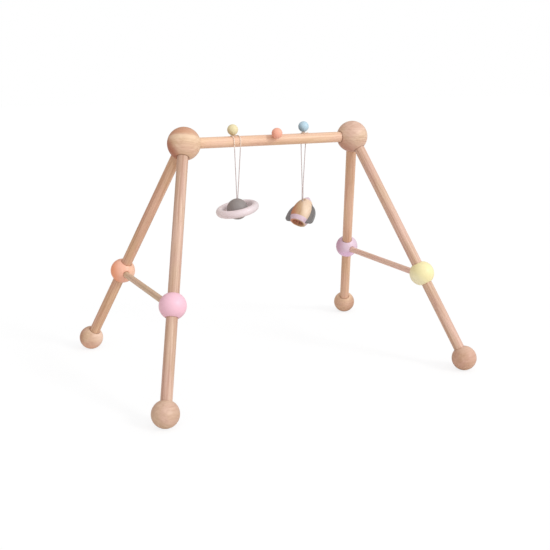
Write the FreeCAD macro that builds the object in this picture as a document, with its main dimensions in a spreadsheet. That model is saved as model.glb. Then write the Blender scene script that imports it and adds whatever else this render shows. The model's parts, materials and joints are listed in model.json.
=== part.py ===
import FreeCAD, Part
import math
import os

from FreeCAD import Placement, Rotation, Vector
from Sketcher import Constraint

# Wooden activity play gym: two A-shaped pairs of dowel legs, each pair meeting in a ball hub,
# a top bar between the hubs, a thin crossbar low on each side, and two hanging toys.
# Frame: origin on the floor under the middle of the bar, +X along the bar, +Y away from the
# front legs, +Z up. Millimetres and degrees.

doc = FreeCAD.newDocument("PlayGym")
dims = doc.addObject("Spreadsheet::Sheet", "Dims")

# alias, value, note
SIZES = [
    # frame layout
    ("hub_dia", 60.0, "corner hub ball"),
    ("hub_x", 175.0, "hub centre from the middle, along the bar"),
    ("hub_z", 430.0, "hub centre above the floor"),
    ("leg_rise", 4.6, "the leg axes of one hub cross this far above its centre"),
    ("foot_dia", 47.0, "foot ball"),
    ("foot_x", 301.5, "foot ball centre from the middle, along the bar"),
    ("foot_y", 220.0, "foot ball centre from the middle, across the bar"),
    ("foot_z", 23.0, "foot ball centre above the floor"),
    ("brace_dia", 47.0, "brace ball on each leg"),
    ("brace_share", 0.627, "brace ball centre, share of the way from the leg crossing to the foot"),
    ("brace_drop", 3.5, "crossbar axis below the brace ball centres"),
    # dowels
    ("leg_dia", 20.0, "leg dowel"),
    ("bar_dia", 20.0, "top bar dowel"),
    ("cross_dia", 12.0, "crossbar dowel"),
    ("dowel_chamfer", 0.8, "chamfer on dowel ends"),
    ("leg_start", 24.9, "leg's top end from the leg crossing"),
    ("leg_past", 2.0, "leg's lower end past the foot centre"),
    ("bar_gap", 10.4, "bar end from the hub centre"),
    ("cross_gap", 15.2, "crossbar end from the brace ball centre"),
    # sockets
    ("socket_play", 0.3, "radial room round a dowel in its socket"),
    ("socket_floor", 0.4, "room between a dowel's end and its socket's floor"),
    ("mouth_chamfer", 0.9, "chamfer round each socket's mouth"),
    # fasteners inside the hubs
    ("bolt_dia", 6.0, "hanger bolt shank"),
    ("bolt_wood", 22.0, "hanger bolt length in the dowel"),
    ("bolt_metal", 8.0, "hanger bolt length in the insert"),
    ("bolt_bevel", 0.8, "bevel on the bolt's machine end"),
    ("bolt_cone", 4.0, "length of the cone on the bolt's wood end"),
    ("bolt_tip", 0.8, "radius of the cone's flat tip"),
    ("bolt_room", 0.05, "radial room round a bolt"),
    ("insert_dia", 9.0, "hole for a threaded insert"),
    ("insert_len", 9.0, "threaded insert's lower end below the socket floor"),
    ("insert_room", 0.05, "room round an insert, and from its mouth to the socket floor"),
    ("insert_hole_past", 1.0, "insert hole cut past the insert at either end"),
    # knobs
    ("knob_dia", 20.0, "knob bead"),
    ("knob_pin_dia", 5.0, "knob pin"),
    ("knob_pin_depth", 10.0, "knob pin depth in the bar and hole depth in the bead"),
    ("knob_pin_room", 0.05, "radial room round a knob pin"),
    ("knob_pin_gap", 0.3, "room past either end of a knob pin"),
    ("yellow_x", -80.0, "yellow knob along the bar"),
    ("coral_x", 1.7, "coral knob along the bar"),
    ("blue_x", 66.8, "blue knob along the bar"),
    ("yellow_reach", 21.4, "yellow bead centre from the bar axis"),
    ("coral_reach", 22.0, "coral bead centre from the bar axis"),
    ("blue_reach", 22.4, "blue bead centre from the bar axis"),
    ("coral_lean", 52.0, "coral knob leans this many degrees to the front"),
    # cords
    ("cord_dia", 1.8, "cord"),
    ("cord_room", 0.1, "room between cord and bar"),
    ("cord_hold", 38.0, "the tied part of a cord ends about this many degrees from the bar's top"),
    ("loop_short", 0.3, "the tied part stops this many degrees before cord_hold"),
    ("arc_late", 1.2, "the part lying on the bar starts this many degrees after cord_hold"),
    ("arc_short", 2.0, "its sweep is this many degrees less than from cord_hold to 90"),
    ("strand_below", 0.1, "hanging strands start this far below the bar axis"),
    ("strand_gap", 0.08, "room between two strands side by side"),
    ("tail_inset", 0.06, "each strand in a toy lies this much nearer the pair's middle"),
    ("planet_cord_a", -1.9, "planet cord's first strand from the yellow knob, along the bar"),
    ("planet_cord_b", 11.0, "planet cord's second strand from the yellow knob"),
    ("rocket_cord_a", 0.6, "rocket cord's first strand from the blue knob, along the bar"),
    ("rocket_cord_b", 11.4, "rocket cord's second strand from the blue knob"),
    # ringed planet toy
    ("planet_dia", 39.2, "planet ball"),
    ("planet_x", -76.8, "planet along the bar"),
    ("planet_drop", 122.8, "planet centre below the bar axis"),
    ("planet_hole", 4.0, "cord hole through the planet"),
    ("planet_well", 10.0, "knot well under the planet"),
    ("planet_well_deep", 10.0, "knot well depth"),
    ("planet_knot_dia", 7.2, "knot in the planet's well"),
    ("planet_knot_z", 5.6, "knot centre above the planet's lowest point"),
    ("ring_dia", 80.4, "ring outside"),
    ("ring_thick", 14.4, "ring section"),
    ("ring_tilt", 12.2, "ring tilt at rest, degrees"),
    ("ring_turn", 6.4, "the ring and its pins are turned this far about the cord, degrees"),
    ("ring_pin_dia", 3.0, "ring pin"),
    ("ring_pin_in", 12.0, "ring pin starts this far from the planet centre"),
    ("ring_pin_out", 31.0, "ring pin ends this far from the planet centre"),
    ("ring_pin_room", 0.06, "radial running room of the ring on its pins"),
    ("planet_pin_room", 0.03, "radial room round a ring pin in the planet"),
    ("pin_gap_in", 0.3, "room past a ring pin's inner end"),
    ("pin_gap_out", 0.4, "room past a ring pin's outer end"),
    # rocket toy
    ("rocket_x", 72.3, "rocket's cord along the bar"),
    ("rocket_drop", 120.4, "cord hole's mouth below the bar axis"),
    ("split_drop", 92.7, "the two strands meet this far below the bar axis"),
    ("split_gap", 0.65, "strands stop this far above and below the split"),
    ("rocket_len", 58.5, "rocket body length"),
    ("rocket_dia", 41.0, "rocket body, widest"),
    ("rocket_base_dia", 31.0, "rocket body at the base"),
    ("rocket_belly", 21.0, "widest point above the base"),
    ("rocket_tip", 3.0, "nose radius"),
    ("rocket_hollow_dia", 23.4, "hollow in the base"),
    ("rocket_hollow_deep", 10.0, "hollow depth"),
    ("rocket_rim", 1.0, "rounding of the base's outer and inner rims"),
    ("rocket_lean", 40.0, "rocket axis from the vertical, degrees"),
    ("rocket_turn", 28.5, "direction of the lean, degrees from +X to +Y"),
    ("rocket_hole_at", 42.5, "cord hole above the base, along the axis"),
    ("rocket_hole_dia", 4.0, "cord hole in the rocket"),
    ("rocket_knot_dia", 6.4, "knot in the hollow"),
    ("rocket_knot_drop", 2.6, "knot centre below the cord channel's inner end"),
    ("fin_turn", -90.0, "first fin round the rocket axis, degrees"),
    ("fin_thick", 4.0, "fin board"),
    ("fin_in", 13.6, "fin's inner edge from the rocket axis"),
    ("fin_out", 31.5, "fin's outer edge from the rocket axis"),
    ("fin_low", 2.0, "fin's lower edge above the base"),
    ("fin_high", 43.0, "fin's top above the base"),
    ("fin_top", 0.6, "width of the fin's flat top"),
    ("fin_upright", 12.0, "fin's outer edge starts to bow this far above its lower edge"),
    ("fin_corner", 6.5, "radius of a fin's lower outer corner"),
    ("fin_slot_room", 0.08, "room each side of a fin in its slot"),
    ("fin_slot_gap", 0.2, "room inside and below a fin in its slot"),
    ("fin_slot_above", 0.6, "slot's top above the fin's top"),
]
for row, (alias, value, note) in enumerate(SIZES, start=1):
    dims.set(f"A{row}", note)
    dims.set(f"B{row}", repr(value))
    dims.setAlias(f"B{row}", alias)
doc.recompute()

X_AXIS, Y_AXIS, Z_AXIS = Vector(1, 0, 0), Vector(0, 1, 0), Vector(0, 0, 1)

# How far cutting tools run out past the surface they cut.
BORE_OVERRUN = 12
CONE_OVERRUN = 3

nodes = []  # the pieces to export


def dim(alias):
    return float(getattr(dims, alias))


def node(obj, label):
    """Label a finished piece and list it for export."""
    obj.Label = label
    nodes.append(obj)


# ---------------------------------------------------------------- sketches and bodies


def bind(obj, **expressions):
    for name, expression in expressions.items():
        obj.setExpression(name, expression)


def sketch_on(body, role, name):
    sketch = body.newObject("Sketcher::SketchObject", name)
    plane = [f for f in body.Origin.OriginFeatures if f.Role == role][0]
    sketch.AttachmentSupport = [(plane, "")]
    sketch.MapMode = "FlatFace"
    return sketch


def constrain(sketch, rows):
    for row in rows:
        sketch.addConstraint(Constraint(*row))


def drive(sketch, rows):
    """Add named dimensions; rows are (name, expression, constraint type, its arguments...)."""
    for name, expression, *definition in rows:
        index = sketch.addConstraint(Constraint(*definition))
        sketch.renameConstraint(index, name)
        sketch.setExpression(f"Constraints.{name}", expression)


def circle_sketch(body, name, radius):
    """A circle on the body's XY plane, centred on its axis, sized by the radius expression."""
    start_radius = 5.0  # replaced when the expression is evaluated
    sketch = sketch_on(body, "XY_Plane", name)
    sketch.addGeometry(Part.Circle(Vector(0, 0, 0), Z_AXIS, start_radius), False)
    constrain(sketch, [("Coincident", 0, 3, -1, 1)])
    drive(sketch, [("radius", radius, "Radius", 0, start_radius)])
    return sketch


def line(start, end):
    return Part.LineSegment(start, end)


def arc(centre, start, end):
    """Counterclockwise arc in the sketch plane."""
    start_angle = math.atan2(start.y - centre.y, start.x - centre.x)
    end_angle = math.atan2(end.y - centre.y, end.x - centre.x)
    circle = Part.Circle(centre, Z_AXIS, (start - centre).Length)
    return Part.ArcOfCircle(circle, start_angle, end_angle)


def revolve(body, sketch, name):
    """Turn the sketch once round the body's Z axis."""
    turned = body.newObject("PartDesign::Revolution", name)
    turned.Profile = sketch
    turned.ReferenceAxis = (sketch, ["V_Axis"])
    turned.Angle = 360
    doc.recompute()
    return turned


def pocket(body, name, sketch, length, upward):
    """Cut the sketch into the body, towards +Z if upward, else towards -Z."""
    before = body.Tip.Shape.Volume
    hole = body.newObject("PartDesign::Pocket", name)
    hole.Profile = sketch
    hole.Reversed = upward
    bind(hole, Length=length)
    doc.recompute()
    if not hole.Shape.Volume < before - 100.0:
        raise RuntimeError(f"{name} cut nothing")
    return hole


def circles_at(feature, level):
    """(radius, edge name) of each circular edge centred at height level."""
    found = []
    for i, edge in enumerate(feature.Shape.Edges, start=1):
        # a collapsed edge has no curve, and asking for it raises TypeError
        try:
            curve = edge.Curve
        except TypeError:
            continue
        if isinstance(curve, Part.Circle) and abs(curve.Center.z - level) < 1e-6:
            found.append((curve.Radius, f"Edge{i}"))
    return found


def outer_edges(feature, level):
    circles = circles_at(feature, level)
    largest = max(radius for radius, _ in circles)
    return [name for radius, name in circles if abs(radius - largest) < 1e-6]


def dowel(name, radius, length, start, way, pilot_start=False, pilot_end=False):
    """A chamfered dowel from start along way, with a bolt's pilot hole in either end."""
    body = doc.addObject("PartDesign::Body", name)
    pad = body.newObject("PartDesign::Pad", name + "_pad")
    pad.Profile = circle_sketch(body, name + "_section", radius)
    bind(pad, Length=length)
    doc.recompute()
    chamfer = body.newObject("PartDesign::Chamfer", name + "_chamfer")
    chamfer.Base = (pad, outer_edges(pad, 0.0) + outer_edges(pad, pad.Length.Value))
    bind(chamfer, Size="Dims.dowel_chamfer")
    doc.recompute()
    pilot_radius = "Dims.bolt_dia / 2 + Dims.bolt_room"
    pilot_depth = "Dims.bolt_wood + Dims.socket_floor"
    if pilot_start:
        sketch = circle_sketch(body, name + "_near", pilot_radius)
        pocket(body, name + "_near_pilot", sketch, pilot_depth, upward=True)
    if pilot_end:
        sketch = circle_sketch(body, name + "_far", pilot_radius)
        sketch.setExpression("AttachmentOffset.Base.z", length)
        pocket(body, name + "_far_pilot", sketch, pilot_depth, upward=False)
    body.Placement = along(start, way)
    return body


def turned_piece(name, profile, place):
    """A piece turned about its Z axis from a closed profile.
    Profile rows are (radius, its expression, height, its expression)."""
    body = doc.addObject("PartDesign::Body", name)
    sketch = sketch_on(body, "XZ_Plane", name + "_profile")
    points = [Vector(radius, height, 0) for radius, _, height, _ in profile]
    count = len(points)
    for i in range(count):
        sketch.addGeometry(line(points[i], points[(i + 1) % count]), False)
    constrain(sketch, [("Coincident", i, 2, (i + 1) % count, 1) for i in range(count)])
    for i, (radius, radius_text, height, height_text) in enumerate(profile):
        if radius_text == "0":
            constrain(sketch, [("PointOnObject", i, 1, -2)])
        else:
            drive(sketch, [(f"x{i}", radius_text, "DistanceX", -1, 1, i, 1, radius)])
        drive(sketch, [(f"z{i}", height_text, "DistanceY", -1, 1, i, 1, height)])
    revolve(body, sketch, name + "_turned")
    body.Placement = place
    return body


# ---------------------------------------------------------------- solids and sockets


def along(start, way):
    """Placement with its origin at start and its Z axis along way."""
    return Placement(start, Rotation(Z_AXIS, way))


def cylinder(name, radius, height, place):
    obj = doc.addObject("Part::Cylinder", name)
    bind(obj, Radius=radius, Height=height)
    obj.Placement = place
    return obj


def ball(name, radius, centre, axis=Z_AXIS):
    """A ball with its poles on the axis, which runs along the main bore."""
    obj = doc.addObject("Part::Sphere", name)
    bind(obj, Radius=radius)
    obj.Placement = along(centre, axis)
    return obj


def box(name, length, width, height, place):
    obj = doc.addObject("Part::Box", name)
    bind(obj, Length=length, Width=width, Height=height)
    obj.Placement = place
    return obj


def fuse(name, shapes):
    obj = doc.addObject("Part::MultiFuse", name)
    obj.Shapes = shapes
    return obj


def cut_node(name, base, tools):
    tool = fuse(name + "_tools", tools) if len(tools) > 1 else tools[0]
    obj = doc.addObject("Part::Cut", name + "_cut")
    obj.Base = base
    obj.Tool = tool
    node(obj, name)


def group_node(name, objects):
    obj = doc.addObject("Part::Compound", name + "_set")
    obj.Links = objects
    node(obj, name)


def bore_radius(dowel_alias):
    return dim(dowel_alias) / 2 + dim("socket_play")


def bore_text(dowel_alias):
    return f"Dims.{dowel_alias} / 2 + Dims.socket_play"


def mouth_reach(ball_radius, hole_radius, offset=0.0):
    """Where a bore's wall leaves a ball, along a bore axis that passes the centre at offset."""
    return math.sqrt(ball_radius**2 - hole_radius**2 - offset**2)


def mouth_cone(name, origin, way, mouth, dowel_alias):
    """Tool for the 45 degree chamfer of a bore's mouth, at distance mouth from origin."""
    obj = doc.addObject("Part::Cone", name + "_mouth")
    radius = bore_text(dowel_alias)
    depth = f"Dims.mouth_chamfer + {CONE_OVERRUN}"
    bind(obj, Radius1=radius, Radius2=f"{radius} + {depth}", Height=depth)
    obj.Placement = along(origin + way * (mouth - dim("mouth_chamfer")), way)
    return obj


def socket(name, origin, way, floor, mouth, dowel_alias):
    """Tools for a round socket; floor and mouth are distances from origin along way."""
    height = f"{mouth - floor} + {BORE_OVERRUN}"
    place = along(origin + way * floor, way)
    return [
        cylinder(name + "_bore", bore_text(dowel_alias), height, place),
        mouth_cone(name, origin, way, mouth, dowel_alias),
    ]


# ---------------------------------------------------------------- frame layout

# corner, side along X, side along Y, its brace ball
CORNERS = [
    ("front_left", -1, -1, "brace_ball_pink"),
    ("back_left", -1, 1, "brace_ball_orange"),
    ("back_right", 1, 1, "brace_ball_lilac"),
    ("front_right", 1, -1, "brace_ball_yellow"),
]
BAR_Z = dim("hub_z")


def leg_layout(side_x, side_y, brace_name):
    crossing = Vector(side_x * dim("hub_x"), 0, dim("hub_z") + dim("leg_rise"))
    foot = Vector(side_x * dim("foot_x"), side_y * dim("foot_y"), dim("foot_z"))
    span = foot - crossing
    return {
        "side_x": side_x,
        "side_y": side_y,
        "crossing": crossing,
        "foot": foot,
        "way": span / span.Length,
        "brace": crossing + span * dim("brace_share"),
        "brace_name": brace_name,
    }


LEGS = {corner: leg_layout(*layout) for corner, *layout in CORNERS}

# ---------------------------------------------------------------- hubs
# Each hub ball has two leg sockets and a bar socket. Past each socket's floor is a hole with a
# threaded insert, which takes the dowel's hanger bolt.


def insert_piece(name, place):
    """Threaded insert: a plain sleeve running to -Z from just below the socket floor at Z 0."""
    inner = dim("bolt_dia") / 2 + dim("bolt_room")
    outer = dim("insert_dia") / 2 - dim("insert_room")
    inner_text = "Dims.bolt_dia / 2 + Dims.bolt_room"
    outer_text = "Dims.insert_dia / 2 - Dims.insert_room"
    profile = [
        (inner, inner_text, -dim("insert_len"), "-Dims.insert_len"),
        (outer, outer_text, -dim("insert_len"), "-Dims.insert_len"),
        (outer, outer_text, -dim("insert_room"), "-Dims.insert_room"),
        (inner, inner_text, -dim("insert_room"), "-Dims.insert_room"),
    ]
    return turned_piece(name, profile, place)


def bolt_piece(name, place):
    """Hanger bolt: coned wood end at +Z, bevelled machine end at -Z; Z 0 is the socket floor."""
    radius, wood, metal = dim("bolt_dia") / 2, dim("bolt_wood"), dim("bolt_metal")
    bevel = dim("bolt_bevel")
    radius_text, wood_text, metal_text = "Dims.bolt_dia / 2", "Dims.bolt_wood", "-Dims.bolt_metal"
    profile = [
        (0.0, "0", -metal, metal_text),
        (radius - bevel, radius_text + " - Dims.bolt_bevel", -metal, metal_text),
        (radius, radius_text, -metal + bevel, metal_text + " + Dims.bolt_bevel"),
        (radius, radius_text, wood - dim("bolt_cone"), wood_text + " - Dims.bolt_cone"),
        (dim("bolt_tip"), "Dims.bolt_tip", wood, wood_text),
        (0.0, "0", wood, wood_text),
    ]
    return turned_piece(name, profile, place)


def hub_socket(name, origin, way, floor, mouth, dowel_alias):
    """Tools for a hub socket with the insert hole past its floor."""
    hole_start = floor - dim("insert_len") - dim("insert_hole_past")
    insert_hole = cylinder(
        name + "_insert_hole", "Dims.insert_dia / 2", "Dims.insert_len + 2 * Dims.insert_hole_past",
        along(origin + way * hole_start, way),
    )
    return socket(name, origin, way, floor, mouth, dowel_alias) + [insert_hole]


def build_hubs():
    hub_radius = dim("hub_dia") / 2
    leg_floor = dim("leg_start") - dim("socket_floor")
    bar_floor = dim("bar_gap") - dim("socket_floor")
    bar_mouth = mouth_reach(hub_radius, bore_radius("bar_dia"))
    inserts, leg_bolts, bar_bolts = [], [], []
    for side, side_x in (("left", -1), ("right", 1)):
        centre = Vector(side_x * dim("hub_x"), 0, dim("hub_z"))
        tools = []
        for corner, leg in LEGS.items():
            if leg["side_x"] != side_x:
                continue
            crossing, way = leg["crossing"], leg["way"]
            rise = crossing - centre
            past_centre = rise.dot(way)
            offset = math.sqrt(rise.dot(rise) - past_centre**2)
            mouth = mouth_reach(hub_radius, bore_radius("leg_dia"), offset) - past_centre
            name = f"hub_{side}_{corner}"
            tools += hub_socket(name, crossing, way, leg_floor, mouth, "leg_dia")
            floor_place = along(crossing + way * leg_floor, way)
            inserts.append(insert_piece(f"insert_{corner}", floor_place))
            leg_bolts.append(bolt_piece(f"hanger_bolt_{corner}", floor_place))
        way = Vector(-side_x, 0, 0)
        tools += hub_socket(f"hub_{side}_bar", centre, way, bar_floor, bar_mouth, "bar_dia")
        floor_place = along(centre + way * bar_floor, way)
        inserts.append(insert_piece(f"insert_bar_{side}", floor_place))
        bar_bolts.append(bolt_piece(f"hanger_bolt_bar_{side}", floor_place))
        cut_node(f"hub_{side}", ball(f"hub_{side}_ball", "Dims.hub_dia / 2", centre, way), tools)
    group_node("hub_threaded_inserts", inserts)
    group_node("leg_hanger_bolts", leg_bolts)
    group_node("bar_hanger_bolts", bar_bolts)


# ---------------------------------------------------------------- legs, feet, braces, crossbars

LEG_LENGTH = (
    "sqrt((Dims.foot_x - Dims.hub_x)^2 + Dims.foot_y^2"
    " + (Dims.hub_z + Dims.leg_rise - Dims.foot_z)^2)"
    " + Dims.leg_past - Dims.leg_start"
)
CROSSBAR_LENGTH = "2 * (Dims.foot_y * Dims.brace_share - Dims.cross_gap)"
FLAT_TOOL_HEIGHT = 10  # box that cuts the flat under a foot
BRACE_BORE_OVERRUN = 5  # at either end


def build_leg(corner, leg):
    """One dowel from the hub through the brace ball into the foot ball."""
    name = f"leg_{corner}"
    start = leg["crossing"] + leg["way"] * dim("leg_start")
    node(dowel(name, "Dims.leg_dia / 2", LEG_LENGTH, start, leg["way"], pilot_start=True), name)


def build_foot(corner, leg):
    """A ball with a blind socket for the leg, and a small flat that rests on the floor."""
    name = f"foot_{corner}"
    radius = dim("foot_dia") / 2
    foot, up = leg["foot"], leg["way"] * -1
    floor = -dim("leg_past") - dim("socket_floor")
    mouth = mouth_reach(radius, bore_radius("leg_dia"))
    tools = socket(name, foot, up, floor, mouth, "leg_dia")
    under_corner = foot - Vector(radius, radius, dim("foot_z") + FLAT_TOOL_HEIGHT)
    tools.append(
        box(
            name + "_under", "Dims.foot_dia", "Dims.foot_dia", str(FLAT_TOOL_HEIGHT),
            Placement(under_corner, Rotation()),
        )
    )
    cut_node(name, ball(name + "_ball", "Dims.foot_dia / 2", foot, up), tools)


def build_brace(leg):
    """A ball bored right through for the leg, with a blind socket for the crossbar's end."""
    name, centre, way = leg["brace_name"], leg["brace"], leg["way"]
    radius = dim("brace_dia") / 2
    tools = [
        cylinder(
            name + "_leg_bore", bore_text("leg_dia"), f"Dims.brace_dia + {2 * BRACE_BORE_OVERRUN}",
            along(centre - way * (radius + BRACE_BORE_OVERRUN), way),
        )
    ]
    mouth = mouth_reach(radius, bore_radius("leg_dia"))
    tools.append(mouth_cone(name + "_upper", centre, way * -1, mouth, "leg_dia"))
    tools.append(mouth_cone(name + "_lower", centre, way, mouth, "leg_dia"))
    inward = Vector(0, -leg["side_y"], 0)
    axis_point = centre - Vector(0, 0, dim("brace_drop"))
    floor = dim("cross_gap") - dim("socket_floor")
    mouth = mouth_reach(radius, bore_radius("cross_dia"), dim("brace_drop"))
    tools += socket(name + "_cross", axis_point, inward, floor, mouth, "cross_dia")
    cut_node(name, ball(name + "_ball", "Dims.brace_dia / 2", centre, way), tools)


def build_crossbar(side):
    """The thin dowel from the side's front brace ball to its back one."""
    name = f"crossbar_{side}"
    start = LEGS[f"front_{side}"]["brace"] + Vector(0, dim("cross_gap"), -dim("brace_drop"))
    node(dowel(name, "Dims.cross_dia / 2", CROSSBAR_LENGTH, start, Y_AXIS), name)


# ---------------------------------------------------------------- top bar and knobs

# colour, lean to the front in degrees
KNOBS = [("yellow", 0.0), ("coral", dim("coral_lean")), ("blue", 0.0)]
KNOB_HOLE_RADIUS = "Dims.knob_pin_dia / 2 + Dims.knob_pin_room"


def knob_axis(colour, lean):
    """The knob's point on the bar axis, and the direction it stands in."""
    angle = math.radians(lean)
    return Vector(dim(f"{colour}_x"), 0, BAR_Z), Vector(0, -math.sin(angle), math.cos(angle))


def build_top_bar():
    bar = dowel(
        "top_bar_dowel", "Dims.bar_dia / 2", "2 * (Dims.hub_x - Dims.bar_gap)",
        Vector(-dim("hub_x") + dim("bar_gap"), 0, BAR_Z), X_AXIS,
        pilot_start=True, pilot_end=True,
    )
    hole_floor = dim("bar_dia") / 2 - dim("knob_pin_depth") - dim("knob_pin_gap")
    holes = []
    for colour, lean in KNOBS:
        origin, way = knob_axis(colour, lean)
        place = along(origin + way * hole_floor, way)
        holes.append(cylinder(f"knob_hole_{colour}", KNOB_HOLE_RADIUS, "Dims.bar_dia", place))
    cut_node("top_bar", bar, holes)


def build_knob(colour, lean):
    """A bead with a blind hole facing the bar, and the pin that holds it."""
    origin, way = knob_axis(colour, lean)
    centre = origin + way * dim(f"{colour}_reach")
    name = f"knob_ball_{colour}"
    # the hole's tool starts outside the bead and ends at the hole's floor
    hole_start = -dim("knob_dia") / 2 + dim("knob_pin_depth") - dim("knob_dia")
    hole = cylinder(
        name + "_hole", KNOB_HOLE_RADIUS, "Dims.knob_dia", along(centre + way * hole_start, way)
    )
    cut_node(name, ball(name + "_bead", "Dims.knob_dia / 2", centre), [hole])
    pin = cylinder(
        f"knob_pin_{colour}", "Dims.knob_pin_dia / 2",
        f"2 * Dims.knob_pin_depth + Dims.{colour}_reach - Dims.knob_dia / 2"
        " - Dims.bar_dia / 2 - Dims.knob_pin_gap",
        along(origin + way * (dim("bar_dia") / 2 - dim("knob_pin_depth")), way),
    )
    node(pin, f"knob_pin_{colour}")


# ---------------------------------------------------------------- cords
# Each cord passes round its knob's neck. It is split where it bends: the part tied round the
# neck, the part lying on the bar, and the hanging strands. The planet's cord hangs in front of
# the bar and the rocket's behind it.

FRONT, BACK = -1.0, 1.0
CORD_RADIUS = dim("cord_dia") / 2
LIE = dim("bar_dia") / 2 + CORD_RADIUS + dim("cord_room")  # cord's centre line from the bar axis
LIE_TEXT = "Dims.bar_dia / 2 + Dims.cord_dia / 2 + Dims.cord_room"
PAIR = CORD_RADIUS + dim("strand_gap") / 2  # half the spacing of two strands side by side
TAIL_PAIR = PAIR - dim("tail_inset")  # the same inside a toy, where the strands overlap
CURVE_STEPS = 3  # points per stretch of the tied part


def catmull(points, steps):
    """Catmull-Rom curve through the points, as a denser list of points."""
    padded = [points[0] * 2 - points[1]] + points + [points[-1] * 2 - points[-2]]
    curve = []
    for before, start, end, after in zip(padded, padded[1:], padded[2:], padded[3:]):
        for k in range(steps):
            t = k / steps
            linear = (end - before) * t
            square = (before * 2 - start * 5 + end * 4 - after) * t**2
            cube = (start * 3 - before - end * 3 + after) * t**3
            curve.append((start * 2 + linear + square + cube) * 0.5)
    curve.append(points[-1])
    return curve


def neck_loop(name, neck_x, first_x, second_x, side):
    """The cord's tied part: a hairpin round the knob's neck, lying on the bar's surface."""
    end = math.radians(dim("cord_hold") - dim("loop_short")) * LIE
    # along the bar, arc length round the bar from its top towards the strands
    flat = [
        (first_x, end), (first_x - 0.5, 5.2),
        (neck_x - 3.2, 2.4), (neck_x - 3.6, 0.0), (neck_x - 2.5, -2.6), (neck_x, -3.7),
        (neck_x + 2.8, -2.9), (neck_x + 5.6, -2.2), (neck_x + 8.8, -0.8),
        (second_x - 0.5, 2.4), (second_x, 5.0), (second_x, end),
    ]
    path = []
    for point in catmull([Vector(x, y, 0) for x, y in flat], CURVE_STEPS):
        angle = point.y / LIE
        path.append(
            Vector(point.x, side * LIE * math.sin(angle), BAR_Z + LIE * math.cos(angle))
        )
    curve = Part.BSplineCurve()
    curve.interpolate(path)
    spine = Part.Wire([curve.toShape()])
    start_way = curve.tangent(curve.FirstParameter)[0]
    section = Part.Wire([Part.Circle(path[0], start_way, CORD_RADIUS).toShape()])
    pipe = doc.addObject("Part::Feature", name + "_pipe")
    pipe.Shape = spine.makePipeShell([section], True, True)
    node(pipe, name)


def lying_arcs(name, first_x, second_x, side):
    """The cord's two arcs on the bar, from the tied part down to the hanging strands."""
    # local X points from the bar axis to the arc's start, local Y the way the arc runs
    angle = math.radians(dim("cord_hold") + dim("arc_late"))
    local_x = Vector(0, side * math.sin(angle), math.cos(angle))
    local_y = Vector(0, side * math.cos(angle), -math.sin(angle))
    turn = Rotation(local_x, local_y, local_x.cross(local_y), "ZXY")
    arcs = []
    for tag, x in (("a", first_x), ("b", second_x)):
        torus = doc.addObject("Part::Torus", f"{name}_{tag}")
        bind(
            torus, Radius1=LIE_TEXT, Radius2="Dims.cord_dia / 2",
            Angle3="90 - Dims.cord_hold - Dims.arc_short",
        )
        torus.Angle1, torus.Angle2 = -180, 180
        torus.Placement = Placement(Vector(x, 0, BAR_Z), turn)
        arcs.append(torus)
    group_node(name, arcs)


def side_by_side(point, half_spacing, across=X_AXIS):
    return point - across * half_spacing, point + across * half_spacing


def strands(name, tops, bottoms):
    """Two straight lengths of cord, a and b."""
    pieces = []
    for tag, top, bottom in zip("ab", tops, bottoms):
        piece = doc.addObject("Part::Cylinder", f"{name}_{tag}")
        bind(piece, Radius="Dims.cord_dia / 2")
        piece.Height = (bottom - top).Length
        piece.Placement = along(top, bottom - top)
        pieces.append(piece)
    return pieces


def build_cord(toy, knob, alias, side, meeting_point):
    """A toy's cord from its knob's neck to the point where its strands come side by side."""
    neck_x = dim(f"{knob}_x")
    first_x = neck_x + dim(f"{alias}_a")
    second_x = neck_x + dim(f"{alias}_b")
    neck_loop(f"{toy}_cord_loop", neck_x, first_x, second_x, side)
    lying_arcs(f"{toy}_cord_on_bar", first_x, second_x, side)
    tops = [Vector(x, side * LIE, BAR_Z - dim("strand_below")) for x in (first_x, second_x)]
    bottoms = side_by_side(meeting_point, PAIR)
    group_node(f"{toy}_cord_strands", strands(f"{toy}_strand", tops, bottoms))


# ---------------------------------------------------------------- ringed planet
# A ball on the cord, with a loose ring that rocks on two pins, front and back.

PLANET = Vector(dim("planet_x"), FRONT * LIE, BAR_Z - dim("planet_drop"))
PLANET_RADIUS = dim("planet_dia") / 2
PLANET_TOP = PLANET + Vector(0, 0, PLANET_RADIUS)
PIN_LINE = Rotation(Z_AXIS, dim("ring_turn")).multVec(Y_AXIS)
PIN_WAYS = [("front", PIN_LINE * -1), ("back", PIN_LINE)]
CORD_ABOVE_PLANET = 0.5  # hanging strands stop this far above the planet
TAIL_BELOW_TOP = 0.2  # strands inside start this far below the planet's top
TAIL_END_Z = 7  # and end this far above its lowest point
PLANET_HOLE_OVERRUN = 2  # at either end
PLANET_WELL_OVERRUN = 4
RING_HOLE_START = 20  # pin holes are cut from here, between planet and ring


def build_planet():
    def below(distance):
        return along(PLANET - Vector(0, 0, PLANET_RADIUS + distance), Z_AXIS)

    tools = [
        cylinder(
            "planet_cord_hole", "Dims.planet_hole / 2",
            f"Dims.planet_dia + {2 * PLANET_HOLE_OVERRUN}", below(PLANET_HOLE_OVERRUN),
        ),
        cylinder(
            "planet_knot_well", "Dims.planet_well / 2",
            f"Dims.planet_well_deep + {PLANET_WELL_OVERRUN}", below(PLANET_WELL_OVERRUN),
        ),
    ]
    for tag, way in PIN_WAYS:
        tools.append(
            cylinder(
                f"planet_pin_hole_{tag}", "Dims.ring_pin_dia / 2 + Dims.planet_pin_room",
                "Dims.planet_dia / 2",
                along(PLANET + way * (dim("ring_pin_in") - dim("pin_gap_in")), way),
            )
        )
    cut_node("saturn_planet", ball("planet_ball", "Dims.planet_dia / 2", PLANET), tools)


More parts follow.
